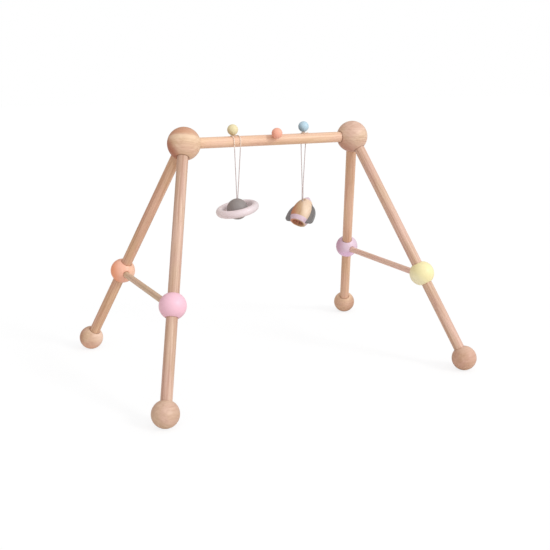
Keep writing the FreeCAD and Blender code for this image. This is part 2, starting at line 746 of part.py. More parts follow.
def build_ring_pins():
    pins = []
    for tag, way in PIN_WAYS:
        place = along(PLANET + way * dim("ring_pin_in"), way)
        length = "Dims.ring_pin_out - Dims.ring_pin_in"
        pins.append(cylinder(f"ring_pin_{tag}", "Dims.ring_pin_dia / 2", length, place))
    group_node("saturn_ring_pins", pins)


def build_ring():
    """A round-section hoop with a blind pin hole at the front and at the back."""
    body = doc.addObject("PartDesign::Body", "saturn_ring_hoop")
    sketch = sketch_on(body, "XZ_Plane", "ring_section")
    section = dim("ring_thick") / 2
    reach = dim("ring_dia") / 2 - section
    sketch.addGeometry(Part.Circle(Vector(reach, 0, 0), Z_AXIS, section), False)
    constrain(sketch, [("PointOnObject", 0, 3, -1)])
    reach_text = "Dims.ring_dia / 2 - Dims.ring_thick / 2"
    drive(sketch, [
        ("reach", reach_text, "DistanceX", -1, 1, 0, 3, reach),
        ("section", "Dims.ring_thick / 2", "Radius", 0, section),
    ])
    revolve(body, sketch, "ring_turned")
    tilt = Rotation(Y_AXIS, -dim("ring_tilt"))
    body.Placement = Placement(PLANET, Rotation(Z_AXIS, dim("ring_turn")) * tilt)
    holes = [
        cylinder(
            f"ring_hole_{tag}", "Dims.ring_pin_dia / 2 + Dims.ring_pin_room",
            f"Dims.ring_pin_out + Dims.pin_gap_out - {RING_HOLE_START}",
            along(PLANET + way * RING_HOLE_START, way),
        )
        for tag, way in PIN_WAYS
    ]
    cut_node("saturn_ring", body, holes)


def build_planet_knot():
    """The cord inside the planet, ending in a knot in the well."""
    bottom = PLANET - Vector(0, 0, PLANET_RADIUS)
    tails = strands(
        "saturn_tail",
        side_by_side(PLANET_TOP - Vector(0, 0, TAIL_BELOW_TOP), TAIL_PAIR),
        side_by_side(bottom + Vector(0, 0, TAIL_END_Z), TAIL_PAIR),
    )
    knot_centre = bottom + Vector(0, 0, dim("planet_knot_z"))
    knot = ball("saturn_knot_ball", "Dims.planet_knot_dia / 2", knot_centre)
    node(fuse("saturn_cord_knot_fused", tails + [knot]), "saturn_cord_knot")


# ---------------------------------------------------------------- rocket
# Local frame: Z along the body from base to nose; the cord hole is on the side facing -X.

SPLIT = Vector(dim("rocket_x"), BACK * LIE, BAR_Z - dim("split_drop"))
HOLE = Vector(dim("rocket_x"), BACK * LIE, BAR_Z - dim("rocket_drop"))
SPLIT_GAP = Vector(0, 0, dim("split_gap"))
LINE_ABOVE_HOLE = 2.6  # side-by-side strands stop this far above the cord hole's mouth

# The flank from belly to nose is an arc tangent to the nose's, level with the belly's widest.
BELLY_RADIUS = dim("rocket_dia") / 2
BELLY_Z = dim("rocket_belly")
TIP_RADIUS = dim("rocket_tip")
TIP_Z = dim("rocket_len") - TIP_RADIUS
FLANK_RADIUS = (BELLY_RADIUS**2 + (TIP_Z - BELLY_Z) ** 2 - TIP_RADIUS**2) / (
    2 * (BELLY_RADIUS - TIP_RADIUS)
)
HOLE_RADIUS_AT = (  # body radius at the cord hole's height
    BELLY_RADIUS - FLANK_RADIUS + math.sqrt(FLANK_RADIUS**2 - (dim("rocket_hole_at") - BELLY_Z) ** 2)
)
HOLE_LOCAL = Vector(-HOLE_RADIUS_AT, 0, dim("rocket_hole_at"))
ROCKET_ROTATION = Rotation(Z_AXIS, dim("rocket_turn")) * Rotation(Y_AXIS, dim("rocket_lean"))
ROCKET = Placement(HOLE - ROCKET_ROTATION.multVec(HOLE_LOCAL), ROCKET_ROTATION)

# The cord's channel runs from the flank down to the hollow.
CHANNEL_INNER = Vector(-4.0, 0, dim("rocket_hollow_deep") - 1.0)
CHANNEL_LENGTH = (HOLE_LOCAL - CHANNEL_INNER).Length
CHANNEL_WAY = (HOLE_LOCAL - CHANNEL_INNER) / CHANNEL_LENGTH
CHANNEL_OVERRUN = 6
TAIL_PAST_CHANNEL = 1.5  # strands run this far past the channel's inner end
TAIL_INSIDE_MOUTH = 0.6  # and start this far inside its mouth

FIN_TURNS = [("near", dim("fin_turn")), ("far", dim("fin_turn") + 180.0)]


def build_rocket_line():
    """The side-by-side strands from the split down to the rocket."""
    hole_end = HOLE + Vector(0, 0, LINE_ABOVE_HOLE)
    tops, bottoms = side_by_side(SPLIT - SPLIT_GAP, PAIR), side_by_side(hole_end, PAIR)
    group_node("rocket_cord_line", strands("rocket_line", tops, bottoms))


def rocket_profile(body):
    sketch = sketch_on(body, "XZ_Plane", "rocket_profile")
    base_radius, length = dim("rocket_base_dia") / 2, dim("rocket_len")
    bulge = BELLY_RADIUS - base_radius
    low_radius = (bulge**2 + BELLY_Z**2) / (2 * bulge)
    origin = Vector(0, 0, 0)
    base = Vector(base_radius, 0, 0)
    belly = Vector(BELLY_RADIUS, BELLY_Z, 0)
    nose = Vector(0, length, 0)
    low_centre = Vector(BELLY_RADIUS - low_radius, BELLY_Z, 0)
    flank_centre = Vector(BELLY_RADIUS - FLANK_RADIUS, BELLY_Z, 0)
    tip_centre = Vector(0, TIP_Z, 0)
    way = (tip_centre - flank_centre) / (tip_centre - flank_centre).Length
    join = flank_centre + way * FLANK_RADIUS
    for piece in (
        line(origin, base),
        arc(low_centre, base, belly),
        arc(flank_centre, belly, join),
        arc(tip_centre, join, nose),
        line(nose, origin),
    ):
        sketch.addGeometry(piece, False)
    constrain(sketch, [
        ("Coincident", 0, 1, -1, 1),
        ("PointOnObject", 0, 2, -1),
        ("Coincident", 0, 2, 1, 1),
        ("Coincident", 1, 2, 2, 1),
        ("Tangent", 2, 2, 3, 1),
        ("Coincident", 3, 2, 4, 1),
        ("Coincident", 4, 2, -1, 1),
        ("PointOnObject", 4, 1, -2),
        ("PointOnObject", 3, 3, -2),
    ])
    drive(sketch, [
        ("base", "Dims.rocket_base_dia / 2", "DistanceX", -1, 1, 0, 2, base_radius),
        ("belly_x", "Dims.rocket_dia / 2", "DistanceX", -1, 1, 1, 2, BELLY_RADIUS),
        ("belly_z", "Dims.rocket_belly", "DistanceY", -1, 1, 1, 2, BELLY_Z),
        ("low_z", "Dims.rocket_belly", "DistanceY", -1, 1, 1, 3, BELLY_Z),
        ("ogive_z", "Dims.rocket_belly", "DistanceY", -1, 1, 2, 3, BELLY_Z),
        ("nose_z", "Dims.rocket_len", "DistanceY", -1, 1, 4, 1, length),
        ("tip", "Dims.rocket_tip", "Radius", 3, TIP_RADIUS),
    ])
    return sketch


def fin_place(turn):
    return ROCKET * Placement(Vector(0, 0, 0), Rotation(Z_AXIS, turn))


def build_rocket_body():
    """The turned body with its hollow base, two fin slots and the cord's channel."""
    body = doc.addObject("PartDesign::Body", "rocket_turned_body")
    revolve(body, rocket_profile(body), "rocket_turning")
    circle = circle_sketch(body, "rocket_hollow_circle", "Dims.rocket_hollow_dia / 2")
    hollow = pocket(body, "rocket_hollow", circle, "Dims.rocket_hollow_deep", upward=True)
    rim = body.newObject("PartDesign::Fillet", "rocket_rim")
    rim.Base = (hollow, [name for _, name in circles_at(hollow, 0.0)])
    bind(rim, Radius="Dims.rocket_rim")
    doc.recompute()
    body.Placement = ROCKET

    gap = dim("fin_slot_gap")
    slot_corner = Vector(
        dim("fin_in") - gap, -dim("fin_thick") / 2 - dim("fin_slot_room"), dim("fin_low") - gap
    )
    tools = [
        box(
            f"fin_slot_{i}", "Dims.rocket_dia", "Dims.fin_thick + 2 * Dims.fin_slot_room",
            "Dims.fin_high - Dims.fin_low + Dims.fin_slot_gap + Dims.fin_slot_above",
            fin_place(turn) * Placement(slot_corner, Rotation()),
        )
        for i, (_, turn) in enumerate(FIN_TURNS)
    ]
    tools.append(
        cylinder(
            "rocket_cord_channel", "Dims.rocket_hole_dia / 2",
            f"{CHANNEL_LENGTH} + {CHANNEL_OVERRUN}", ROCKET * along(CHANNEL_INNER, CHANNEL_WAY),
        )
    )
    cut_node("rocket_body", body, tools)


def build_rocket_knot():
    """The cord in the channel, ending in a knot in the hollow."""
    inner = ROCKET.multVec(CHANNEL_INNER - CHANNEL_WAY * TAIL_PAST_CHANNEL)
    outer = ROCKET.multVec(HOLE_LOCAL - CHANNEL_WAY * TAIL_INSIDE_MOUTH)
    across = ROCKET_ROTATION.multVec(Y_AXIS)
    tails = strands(
        "rocket_tail",
        side_by_side(outer, TAIL_PAIR, across),
        side_by_side(inner, TAIL_PAIR, across),
    )
    knot_centre = ROCKET.multVec(CHANNEL_INNER - Vector(0, 0, dim("rocket_knot_drop")))
    knot = ball("rocket_knot_ball", "Dims.rocket_knot_dia / 2", knot_centre)
    node(fuse("rocket_cord_knot_fused", tails + [knot]), "rocket_cord_knot")


def fin_outline(body, name):
    """The fin's outline; its bowed edge is tangent to the upright part of the outer edge."""
    sketch = sketch_on(body, "XZ_Plane", name + "_outline")
    inner, outer, low, high = dim("fin_in"), dim("fin_out"), dim("fin_low"), dim("fin_high")
    upright, peak_x = dim("fin_upright"), inner + dim("fin_top")
    low_inner, low_outer = Vector(inner, low, 0), Vector(outer, low, 0)
    bow_start, peak = Vector(outer, low + upright, 0), Vector(peak_x, high, 0)
    high_inner = Vector(inner, high, 0)
    run, rise = outer - peak_x, high - bow_start.y
    bow_radius = (run**2 + rise**2) / (2 * run)
    for piece in (
        line(low_inner, low_outer),
        line(low_outer, bow_start),
        arc(Vector(outer - bow_radius, bow_start.y, 0), bow_start, peak),
        line(peak, high_inner),
        line(high_inner, low_inner),
    ):
        sketch.addGeometry(piece, False)
    constrain(sketch, [("Coincident", i, 2, (i + 1) % 5, 1) for i in range(5)])
    constrain(sketch, [("Horizontal", 0), ("Vertical", 1), ("Horizontal", 3), ("Vertical", 4)])
    bow_text = "Dims.fin_low + Dims.fin_upright"
    drive(sketch, [
        ("inner", "Dims.fin_in", "DistanceX", -1, 1, 0, 1, inner),
        ("low", "Dims.fin_low", "DistanceY", -1, 1, 0, 1, low),
        ("outer", "Dims.fin_out", "DistanceX", -1, 1, 0, 2, outer),
        ("upright", "Dims.fin_upright", "DistanceY", 1, 1, 1, 2, upright),
        ("high", "Dims.fin_high", "DistanceY", -1, 1, 3, 1, high),
        ("peak", "Dims.fin_in + Dims.fin_top", "DistanceX", -1, 1, 3, 1, peak_x),
        ("bow_z", bow_text, "DistanceY", -1, 1, 2, 3, low + upright),
    ])
    return sketch


def build_fin(tag, turn):
    """A flat board with a bowed outer edge and a rounded lower outer corner."""
    name = f"rocket_fin_{tag}"
    body = doc.addObject("PartDesign::Body", name)
    sketch = fin_outline(body, name)
    pad = body.newObject("PartDesign::Pad", name + "_board")
    pad.Profile = sketch
    pad.Midplane = True
    bind(pad, Length="Dims.fin_thick")
    doc.recompute()
    outer, low = dim("fin_out"), dim("fin_low")
    corner_edges = [
        f"Edge{i}"
        for i, edge in enumerate(pad.Shape.Edges, start=1)
        if all(abs(v.X - outer) < 1e-4 and abs(v.Z - low) < 1e-4 for v in edge.Vertexes)
    ]
    fillet = body.newObject("PartDesign::Fillet", name + "_corner")
    fillet.Base = (pad, corner_edges)
    bind(fillet, Radius="Dims.fin_corner")
    doc.recompute()
    body.Placement = fin_place(turn)
    node(body, name)


# ---------------------------------------------------------------- build, check and export

build_hubs()
for corner, leg in LEGS.items():
    build_leg(corner, leg)
    build_foot(corner, leg)
    build_brace(leg)
for side in ("left", "right"):
    build_crossbar(side)
build_top_bar()
for colour, lean in KNOBS:
    build_knob(colour, lean)

build_cord("saturn", "yellow", "planet_cord", FRONT, PLANET_TOP + Vector(0, 0, CORD_ABOVE_PLANET))
build_planet()
build_ring_pins()
build_ring()
build_planet_knot()

build_cord("rocket", "blue", "rocket_cord", BACK, SPLIT + SPLIT_GAP)
build_rocket_line()
build_rocket_body()
build_rocket_knot()
for tag, turn in FIN_TURNS:
    build_fin(tag, turn)

doc.recompute()
bad = [obj.Name for obj in doc.Objects if "Invalid" in obj.State or "Error" in obj.State]
if bad:
    raise RuntimeError(f"objects failed: {bad}")
for obj in nodes:
    shape = obj.Shape
    if shape.isNull() or not shape.isValid() or not shape.Solids or shape.Volume <= 0:
        raise RuntimeError(f"{obj.Label}: bad shape")
os.makedirs("parts", exist_ok=True)
for obj in nodes:
    obj.Shape.exportStep(f"parts/{obj.Label}.step")
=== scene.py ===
"""A wooden hanging-toy stand with two hung toys, in metres in the CAD frame.

X runs along the top bar (left is -X), the front is -Y, +Z is up and the feet stand on z = 0.
Two hub balls carry the bar and four splayed legs. A crossbar joins the two legs of each side
through painted balls. A ringed planet hangs at the front of the bar and a rocket at the back.
"""
import json
import math
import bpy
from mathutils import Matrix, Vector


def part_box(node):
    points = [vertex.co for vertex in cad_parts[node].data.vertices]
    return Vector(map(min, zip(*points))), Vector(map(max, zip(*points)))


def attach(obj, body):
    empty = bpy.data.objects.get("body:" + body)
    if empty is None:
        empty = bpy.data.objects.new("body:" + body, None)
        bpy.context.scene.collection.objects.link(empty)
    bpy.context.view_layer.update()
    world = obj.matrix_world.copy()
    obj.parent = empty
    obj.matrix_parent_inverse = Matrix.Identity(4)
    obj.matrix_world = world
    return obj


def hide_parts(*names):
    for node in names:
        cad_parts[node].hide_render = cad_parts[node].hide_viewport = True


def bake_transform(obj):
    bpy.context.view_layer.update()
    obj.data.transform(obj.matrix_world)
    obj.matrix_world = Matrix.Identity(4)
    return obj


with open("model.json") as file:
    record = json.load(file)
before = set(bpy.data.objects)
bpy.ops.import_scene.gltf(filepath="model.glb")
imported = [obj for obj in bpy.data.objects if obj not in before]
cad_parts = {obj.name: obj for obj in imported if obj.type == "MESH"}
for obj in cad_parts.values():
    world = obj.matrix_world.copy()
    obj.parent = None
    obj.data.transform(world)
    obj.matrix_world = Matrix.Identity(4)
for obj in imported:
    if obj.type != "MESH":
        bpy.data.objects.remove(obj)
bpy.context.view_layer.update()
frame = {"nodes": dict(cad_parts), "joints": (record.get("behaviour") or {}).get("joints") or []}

from types import SimpleNamespace

import bmesh
import bpy
import numpy as np
from mathutils import Matrix, Vector

MM = 0.001
TAU = 2 * math.pi
FRONT = Vector((0, -1, 0))
scene = bpy.context.scene
JOINT = {joint["name"]: joint for joint in frame["joints"]}


# ------------------------------------------------------------------ places

def centre_of(name):
    lo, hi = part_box(name)
    return (lo + hi) / 2


def half_size(name, axis):
    lo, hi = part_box(name)
    return (hi[axis] - lo[axis]) / 2


def turned(about_z, about_y):
    """A turn about Y, then about Z, in degrees."""
    return (Matrix.Rotation(math.radians(about_z), 3, "Z")
            @ Matrix.Rotation(math.radians(about_y), 3, "Y"))


BAR_LO, BAR_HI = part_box("top_bar")
BAR_Z = (BAR_LO.z + BAR_HI.z) / 2
BAR_R = (BAR_HI.y - BAR_LO.y) / 2
HUB_R = half_size("hub_left", 2)
HUB = {
    "left": Vector((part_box("hub_left")[0].x + HUB_R, 0, BAR_Z)),
    "right": Vector((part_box("hub_right")[1].x - HUB_R, 0, BAR_Z)),
}
SIDES = {"left": -1, "right": 1}
FOOT_R = half_size("foot_front_left", 0)
FOOT_Z = 23 * MM
BRACE_R = half_size("brace_ball_pink", 2)
BRACE_SHARE = 0.627           # place of a brace ball on the way from the leg crossing to the foot
LEG_R, CROSS_R = 10 * MM, 6 * MM
LEG_TOP = 24.9 * MM           # from the leg crossing to the leg's upper end
LEG_BELOW_FOOT = 2 * MM       # a leg's lower end lies this far past the foot's centre
CROSSING_RISE = 4.6 * MM      # the leg axes cross this far above the hub centre
CROSSBAR_DROP = 3.5 * MM      # the crossbar runs this far below the brace ball centres
PLAY = 0.3 * MM               # a bore is this much wider in radius than its dowel
KNOB_BORE = 2.55 * MM

# corner: side, sign of y, short name, colour of its brace ball
CORNERS = {
    "front_left": ("left", -1, "fl", "pink"),
    "back_left": ("left", 1, "bl", "orange"),
    "back_right": ("right", 1, "br", "lilac"),
    "front_right": ("right", -1, "fr", "yellow"),
}
LEGS = []
for corner, (side, y_sign, short, colour) in CORNERS.items():
    foot = centre_of(f"foot_{corner}")
    foot.z = FOOT_Z
    crossing = HUB[side] + Vector((0, 0, CROSSING_RISE))
    LEGS.append(SimpleNamespace(
        corner=corner, side=side, y_sign=y_sign, short=short, colour=colour, foot=foot,
        crossing=crossing, way=(foot - crossing).normalized(),
        brace=crossing + (foot - crossing) * BRACE_SHARE))

# knob balls on the bar: colour, lean toward the front (degrees), bar axis to ball centre (mm)
KNOB = {}
for colour, lean, reach in (("yellow", 0, 21.4), ("coral", 52.0, 22.0), ("blue", 0, 22.4)):
    ball = f"knob_ball_{colour}"
    way = Vector((0, -math.sin(math.radians(lean)), math.cos(math.radians(lean))))
    at = Vector((centre_of(ball).x, 0, BAR_Z))
    KNOB[colour] = SimpleNamespace(
        at=at, way=way, radius=half_size(ball, 0), centre=at + way * (reach * MM))

ROCKET_TURN = turned(28.5, 40.0)


# ------------------------------------------------------------------ shader helpers

def srgb(*rgb):
    """Linear RGBA of an sRGB colour given from 0 to 255."""
    shares = [value / 255 for value in rgb]
    return (*(v / 12.92 if v <= 0.04045 else ((v + 0.055) / 1.055) ** 2.4 for v in shares), 1.0)


def scaled(color, factor, offset=0.0):
    return tuple([min(1.0, value * factor + offset) for value in color[:3]] + [1.0])


class Net:
    """Shorthand for building a node tree."""

    def __init__(self, tree):
        self.tree = tree
        tree.nodes.clear()

    def put(self, socket, value):
        """Link a socket, or set its value."""
        if isinstance(value, bpy.types.NodeSocket):
            self.tree.links.new(value, socket)
        else:
            socket.default_value = value

    def node(self, kind, inputs=None, **settings):
        node = self.tree.nodes.new("ShaderNode" + kind)
        for key, value in settings.items():
            setattr(node, key, value)
        for key, value in (inputs or {}).items():
            self.put(node.inputs[key], value)
        return node

    def math(self, operation, a, b=0.0):
        return self.node("Math", {0: a, 1: b, 2: 0.0}, operation=operation).outputs[0]

    def add(self, a, b):
        return self.math("ADD", a, b)

    def subtract(self, a, b):
        return self.math("SUBTRACT", a, b)

    def multiply(self, a, b):
        return self.math("MULTIPLY", a, b)

    def swing(self, noise, width):
        """A noise turned into an offset around zero, width wide."""
        return self.multiply(self.subtract(noise, 0.5), width)

    def vector_math(self, operation, a, b=(0, 0, 0)):
        node = self.node("VectorMath", {0: a, 1: b}, operation=operation)
        return node.outputs["Value" if operation in ("LENGTH", "DOT_PRODUCT") else 0]

    def span(self, value, between, to=(0.0, 1.0), smooth=False):
        """Value mapped from one range to another and clamped."""
        node = self.node(
            "MapRange",
            {"Value": value, "From Min": between[0], "From Max": between[1],
             "To Min": to[0], "To Max": to[1]},
            clamp=True, interpolation_type="SMOOTHSTEP" if smooth else "LINEAR")
        return node.outputs[0]

    def noise(self, vector, size=None, detail=2.0, rough=0.5, scale=1.0):
        """Noise whose cells have the given size along each axis, in mm."""
        if size:
            vector = self.vector_math("MULTIPLY", vector, tuple(1 / length for length in size))
        inputs = {"Vector": vector, "Scale": scale, "Detail": detail, "Roughness": rough,
                  "Distortion": 0.0}
        return self.node("TexNoise", inputs).outputs[0]

    def mix(self, share, a, b):
        return self.node("Mix", {0: share, 6: a, 7: b}, data_type="RGBA").outputs[2]

    def tint(self, color, other, by, amount, between=None, smooth=False):
        """Take color toward other where a mask, or a value mapped from a range, is high."""
        if between:
            by = self.span(by, between, smooth=smooth)
        return self.mix(self.multiply(by, amount), color, other)

    def split(self, vector):
        return tuple(self.node("SeparateXYZ", {0: vector}).outputs)

    def combine(self, x, y, z):
        return self.node("CombineXYZ", {0: x, 1: y, 2: z}).outputs[0]

    def grain_place(self):
        return self.node("Attribute", attribute_name="gco").outputs["Vector"]

    def edge(self):
        return self.node("Attribute", attribute_name="edge").outputs["Fac"]

    def object_mm(self):
        place = self.node("TexCoord").outputs["Object"]
        return self.vector_math("MULTIPLY", place, (1000, 1000, 1000))

    def bump(self, height, distance, strength):
        inputs = {"Strength": strength, "Distance": distance, "Height": height}
        return self.node("Bump", inputs).outputs[0]


class MaterialNet(Net):
    """A new material with one Principled shader."""

    def __init__(self, name, view_color):
        self.material = bpy.data.materials.new(name)
        self.material.use_nodes = True
        self.material.diffuse_color = view_color
        super().__init__(self.material.node_tree)
        self.output = self.node("OutputMaterial")
        self.shader = self.node("BsdfPrincipled", {"Base Color": view_color})
        self.put(self.output.inputs["Surface"], self.shader.outputs[0])

    def shade(self, **inputs):
        for key, value in inputs.items():
            self.put(self.shader.inputs[key.replace("_", " ")], value)


# ------------------------------------------------------------------ wood

def wood_figure(net, place, ring_gap, pith, warp=3.0):
    """Rings, streaks, fibres and pores in grain coordinates (z along the grain, mm)."""
    bend = net.noise(place, size=(26, 26, 95))
    x, y, z = net.split(place)
    ring_x = net.add(net.add(x, pith[0]), net.swing(bend, width=2 * warp))
    ring_y = net.add(net.add(y, pith[1]), net.multiply(z, 0.035))    # the pith leans
    radius = net.vector_math("LENGTH", net.combine(ring_x, ring_y, 0.0))
    wobble = net.noise(place, size=(9, 9, 60), detail=3.0, rough=0.55)
    rings = net.add(net.math("DIVIDE", radius, ring_gap), net.multiply(wobble, 0.9))
    saw = net.math("FRACT", rings)
    late = net.math("POWER", saw, 2.6)          # slow rise to a darker late line
    close = net.span(saw, between=(0.93, 1.0), to=(1.0, 0.0), smooth=True)
    pores = net.noise(place, size=(0.36, 0.36, 3.6), detail=1.0)
    return SimpleNamespace(
        ring=net.multiply(late, close),
        streak=net.noise(place, size=(1.3, 1.3, 58), detail=4.0, rough=0.6),
        broad=net.noise(place, size=(6.5, 6.5, 120)),
        fibre=net.noise(place, size=(0.30, 0.30, 9.0), detail=3.0, rough=0.6),
        pore=net.span(pores, between=(0.63, 0.74)),
        blotch=net.noise(place, size=(22, 22, 70)),
        line=net.noise(place, size=(3.6, 3.6, 150), rough=0.55))


def wood_color(net, figure, rgb, contrast, lines):
    """Colour of bare wood round a middle tone given in sRGB."""
    def tone(*offsets):
        return srgb(*(min(255, value + offset) for value, offset in zip(rgb, offsets)))

    def tint_all(color, rows):
        # rows: part of the figure, its range, other colour, amount
        for part, between, other, amount in rows:
            color = net.tint(color, other, by=part, between=between, amount=amount)
        return color

    light, dark = tone(15, 18, 19), tone(-30, -39, -41)
    rose, straw = tone(6, -4, 3), tone(0, 4, -14)
    color = net.mix(net.span(figure.broad, between=(0.36, 0.64)), srgb(*rgb), light)
    color = tint_all(color, (
        (figure.line, (0.53, 0.66), dark, lines),
        (figure.line, (0.47, 0.34), tone(24, 28, 30), lines),
        (figure.streak, (0.50, 0.78), dark, 0.52 * contrast),
        (figure.streak, (0.46, 0.22), light, 0.40 * contrast),
        (figure.ring, None, dark, 0.46 * contrast),
    ))
    hue = net.mix(net.span(figure.blotch, between=(0.38, 0.62)), rose, straw)
    color = net.mix(0.30, color, hue)
    return tint_all(color, (
        (figure.fibre, (0.52, 0.80), dark, 0.22 * contrast),
        (figure.pore, None, tone(-66, -76, -76), 0.34 * contrast),
    ))


def wood_height(net, figure):
    """Raised fibres and streaks, sunken pores."""
    raised = net.add(net.multiply(figure.fibre, 0.5), net.multiply(figure.streak, 0.35))
    return net.subtract(raised, net.multiply(figure.pore, 0.8))


def wear_mask(net, place, amount):
    """Small chips and rubbed places, driven by the edge attribute of the mesh."""
    edge = net.edge()
    chips = net.noise(place, size=(1.1, 1.1, 1.6), detail=4.0, rough=0.65)
    sum_of_both = net.add(net.multiply(edge, 0.62), chips)
    return net.multiply(net.span(sum_of_both, between=(1.02, 1.16)), amount)


# rightward and upward in the camera's view, the axes in which painted light and shade are placed
# on a ball
VIEW_RIGHT = Vector((0.8912, -0.4535, 0.0))
VIEW_UP = Vector((0.1108, 0.2177, 0.9697))


def from_centre(net, centre):
    return net.vector_math("SUBTRACT", net.object_mm(), tuple(v * 1000.0 for v in centre))


def toward(net, centre, radius, rightward, upward):
    """How far a point of a ball lies toward a direction, from -1 to 1. Radius in mm."""
    way = (VIEW_RIGHT * rightward + VIEW_UP * upward).normalized()
    along = net.vector_math("DOT_PRODUCT", from_centre(net, centre), tuple(way))
    return net.multiply(along, 1.0 / radius)


def painted_side_shading(net, color, centre, radius, rows):
    """Painted light and shade: sides of a ball, as the camera sees it, shade into lighter or
    darker colours.

    rows: rightward, upward, where the tone starts and is full (-1 to 1), sRGB, amount
    """
    for rightward, upward, start, full, rgb, amount in rows:
        place = toward(net, centre, radius, rightward, upward)
        color = net.tint(color, srgb(*rgb), by=place, between=(start, full), smooth=True,
                         amount=amount)
    return color


def wavy_height(net, centre, axis, cell, width):
    """Height in mm along a tilted axis through a ball, waving by the given width."""
    offset = from_centre(net, centre)
    wave = net.noise(offset, size=(cell, cell, cell))
    along = net.vector_math("DOT_PRODUCT", offset, tuple(Vector(axis).normalized()))
    return net.add(along, net.swing(wave, width))


def growth_lines(net, color, height, rgb, rows):
    """rows: level (mm), half width (mm), amount"""
    for level, half_width, amount in rows:
        off = net.math("ABSOLUTE", net.subtract(height, level))
        color = net.tint(color, srgb(*rgb), by=off, between=(half_width, 0.1), smooth=True,
                         amount=amount)
    return color


def left_hub_bands_and_shade(net, color):
    """A darker cap above a straw middle, growth lines, and painted shade: a redder lower-left
    side.
    """
    centre = HUB["left"]
    height = wavy_height(net, centre, axis=(0.170, 0.334, 0.927), cell=15, width=3.4)
    straw = net.multiply(net.span(height, between=(1.0, 4.0), smooth=True),
                         net.span(height, between=(11.0, 9.0), smooth=True))
    color = net.tint(color, srgb(243, 215, 186), by=straw, amount=0.45)
    side = toward(net, centre, radius=30.0, rightward=-1.0, upward=0.2)
    cap = net.multiply(net.span(height, between=(7.4, 14.6), smooth=True),
                       net.span(side, between=(-0.75, 0.25), to=(0.62, 1.0), smooth=True))
    color = net.tint(color, srgb(200, 146, 115), by=cap, amount=0.84)
    color = growth_lines(net, color, height, (176, 126, 98), (
        (10.6, 0.8, 0.18), (-4.4, 0.8, 0.24), (-7.6, 0.7, 0.14), (-14.6, 1.0, 0.16),
        (-18.0, 0.9, 0.10)))
    # painted shade: the lower-left side, away from the light, redder and darker
    return painted_side_shading(net, color, centre, 30.0, [(-0.84, -0.54, 0.36, 0.84, (170, 92, 66), 0.82)])


def right_hub_bands_and_shade(net, color):
    """Darker growth lines round the ball, and painted shade: a redder lower-left side."""
    centre = HUB["right"]
    height = wavy_height(net, centre, axis=(0.080, 0.140, 0.985), cell=16, width=2.6)
    color = growth_lines(net, color, height, (168, 124, 100), (
        (-3.6, 0.8, 0.46), (-7.0, 0.6, 0.30), (-10.6, 1.0, 0.44), (-14.6, 0.7, 0.22),
        (11.0, 1.2, 0.20), (16.0, 1.0, 0.16)))
    # painted shade: the lower-left side, away from the light, redder and darker
    return painted_side_shading(net, color, centre, 30.0, [(-0.55, -0.84, 0.34, 0.95, (170, 98, 78), 0.52)])


def make_wood(name, rgb, contrast=1.0, ring_gap=4.2, pith=(31.0, 17.0), lines=0.5, worn=0.45,
              bands=None, painted_shading=None, by_object=False):
    """Bare wood; lengths in mm. tones: painted light and shade on a ball's sides, given as (ball,
    radius in mm, rows of side shading).
    """
    net = MaterialNet(name, srgb(*rgb))
    place = net.object_mm() if by_object else net.grain_place()
    figure = wood_figure(net, place, ring_gap, pith)
    color = wood_color(net, figure, rgb, contrast, lines)
    if bands:
        color = bands(net, color)
    # painted light and shade on the sides of the ball
    if painted_shading:
        ball, radius, rows = painted_shading
        color = painted_side_shading(net, color, centre_of(ball), radius, rows)
    # darker brown at bore mouths: wear, and painted shade in the gap round each dowel
    color = net.tint(color, srgb(128, 84, 62), by=net.edge(), amount=worn)
    rough = net.add(net.span(figure.streak, between=(0.3, 0.7), to=(0.40, 0.52)),
                    net.multiply(figure.pore, 0.2))
    net.shade(Base_Color=color, Roughness=rough, IOR=1.45, Specular_IOR_Level=0.42,
              Coat_Weight=0.10, Coat_Roughness=0.34,
              Normal=net.bump(wood_height(net, figure), distance=0.00009, strength=0.75))
    return net.material


# The rocket in its own frame, in mm: z from its open base to the tip
BELLY_R, BASE_R, TIP_R = 20.5, 15.5, 3.0
BELLY_Z, ROCKET_LENGTH = 21.0, 58.5
CORD_HOLE_Z = 42.5
SHADE_AND_HEARTWOOD_SIDE = tuple(Vector((-0.891, 0.454, 0.0)) @ ROCKET_TURN)


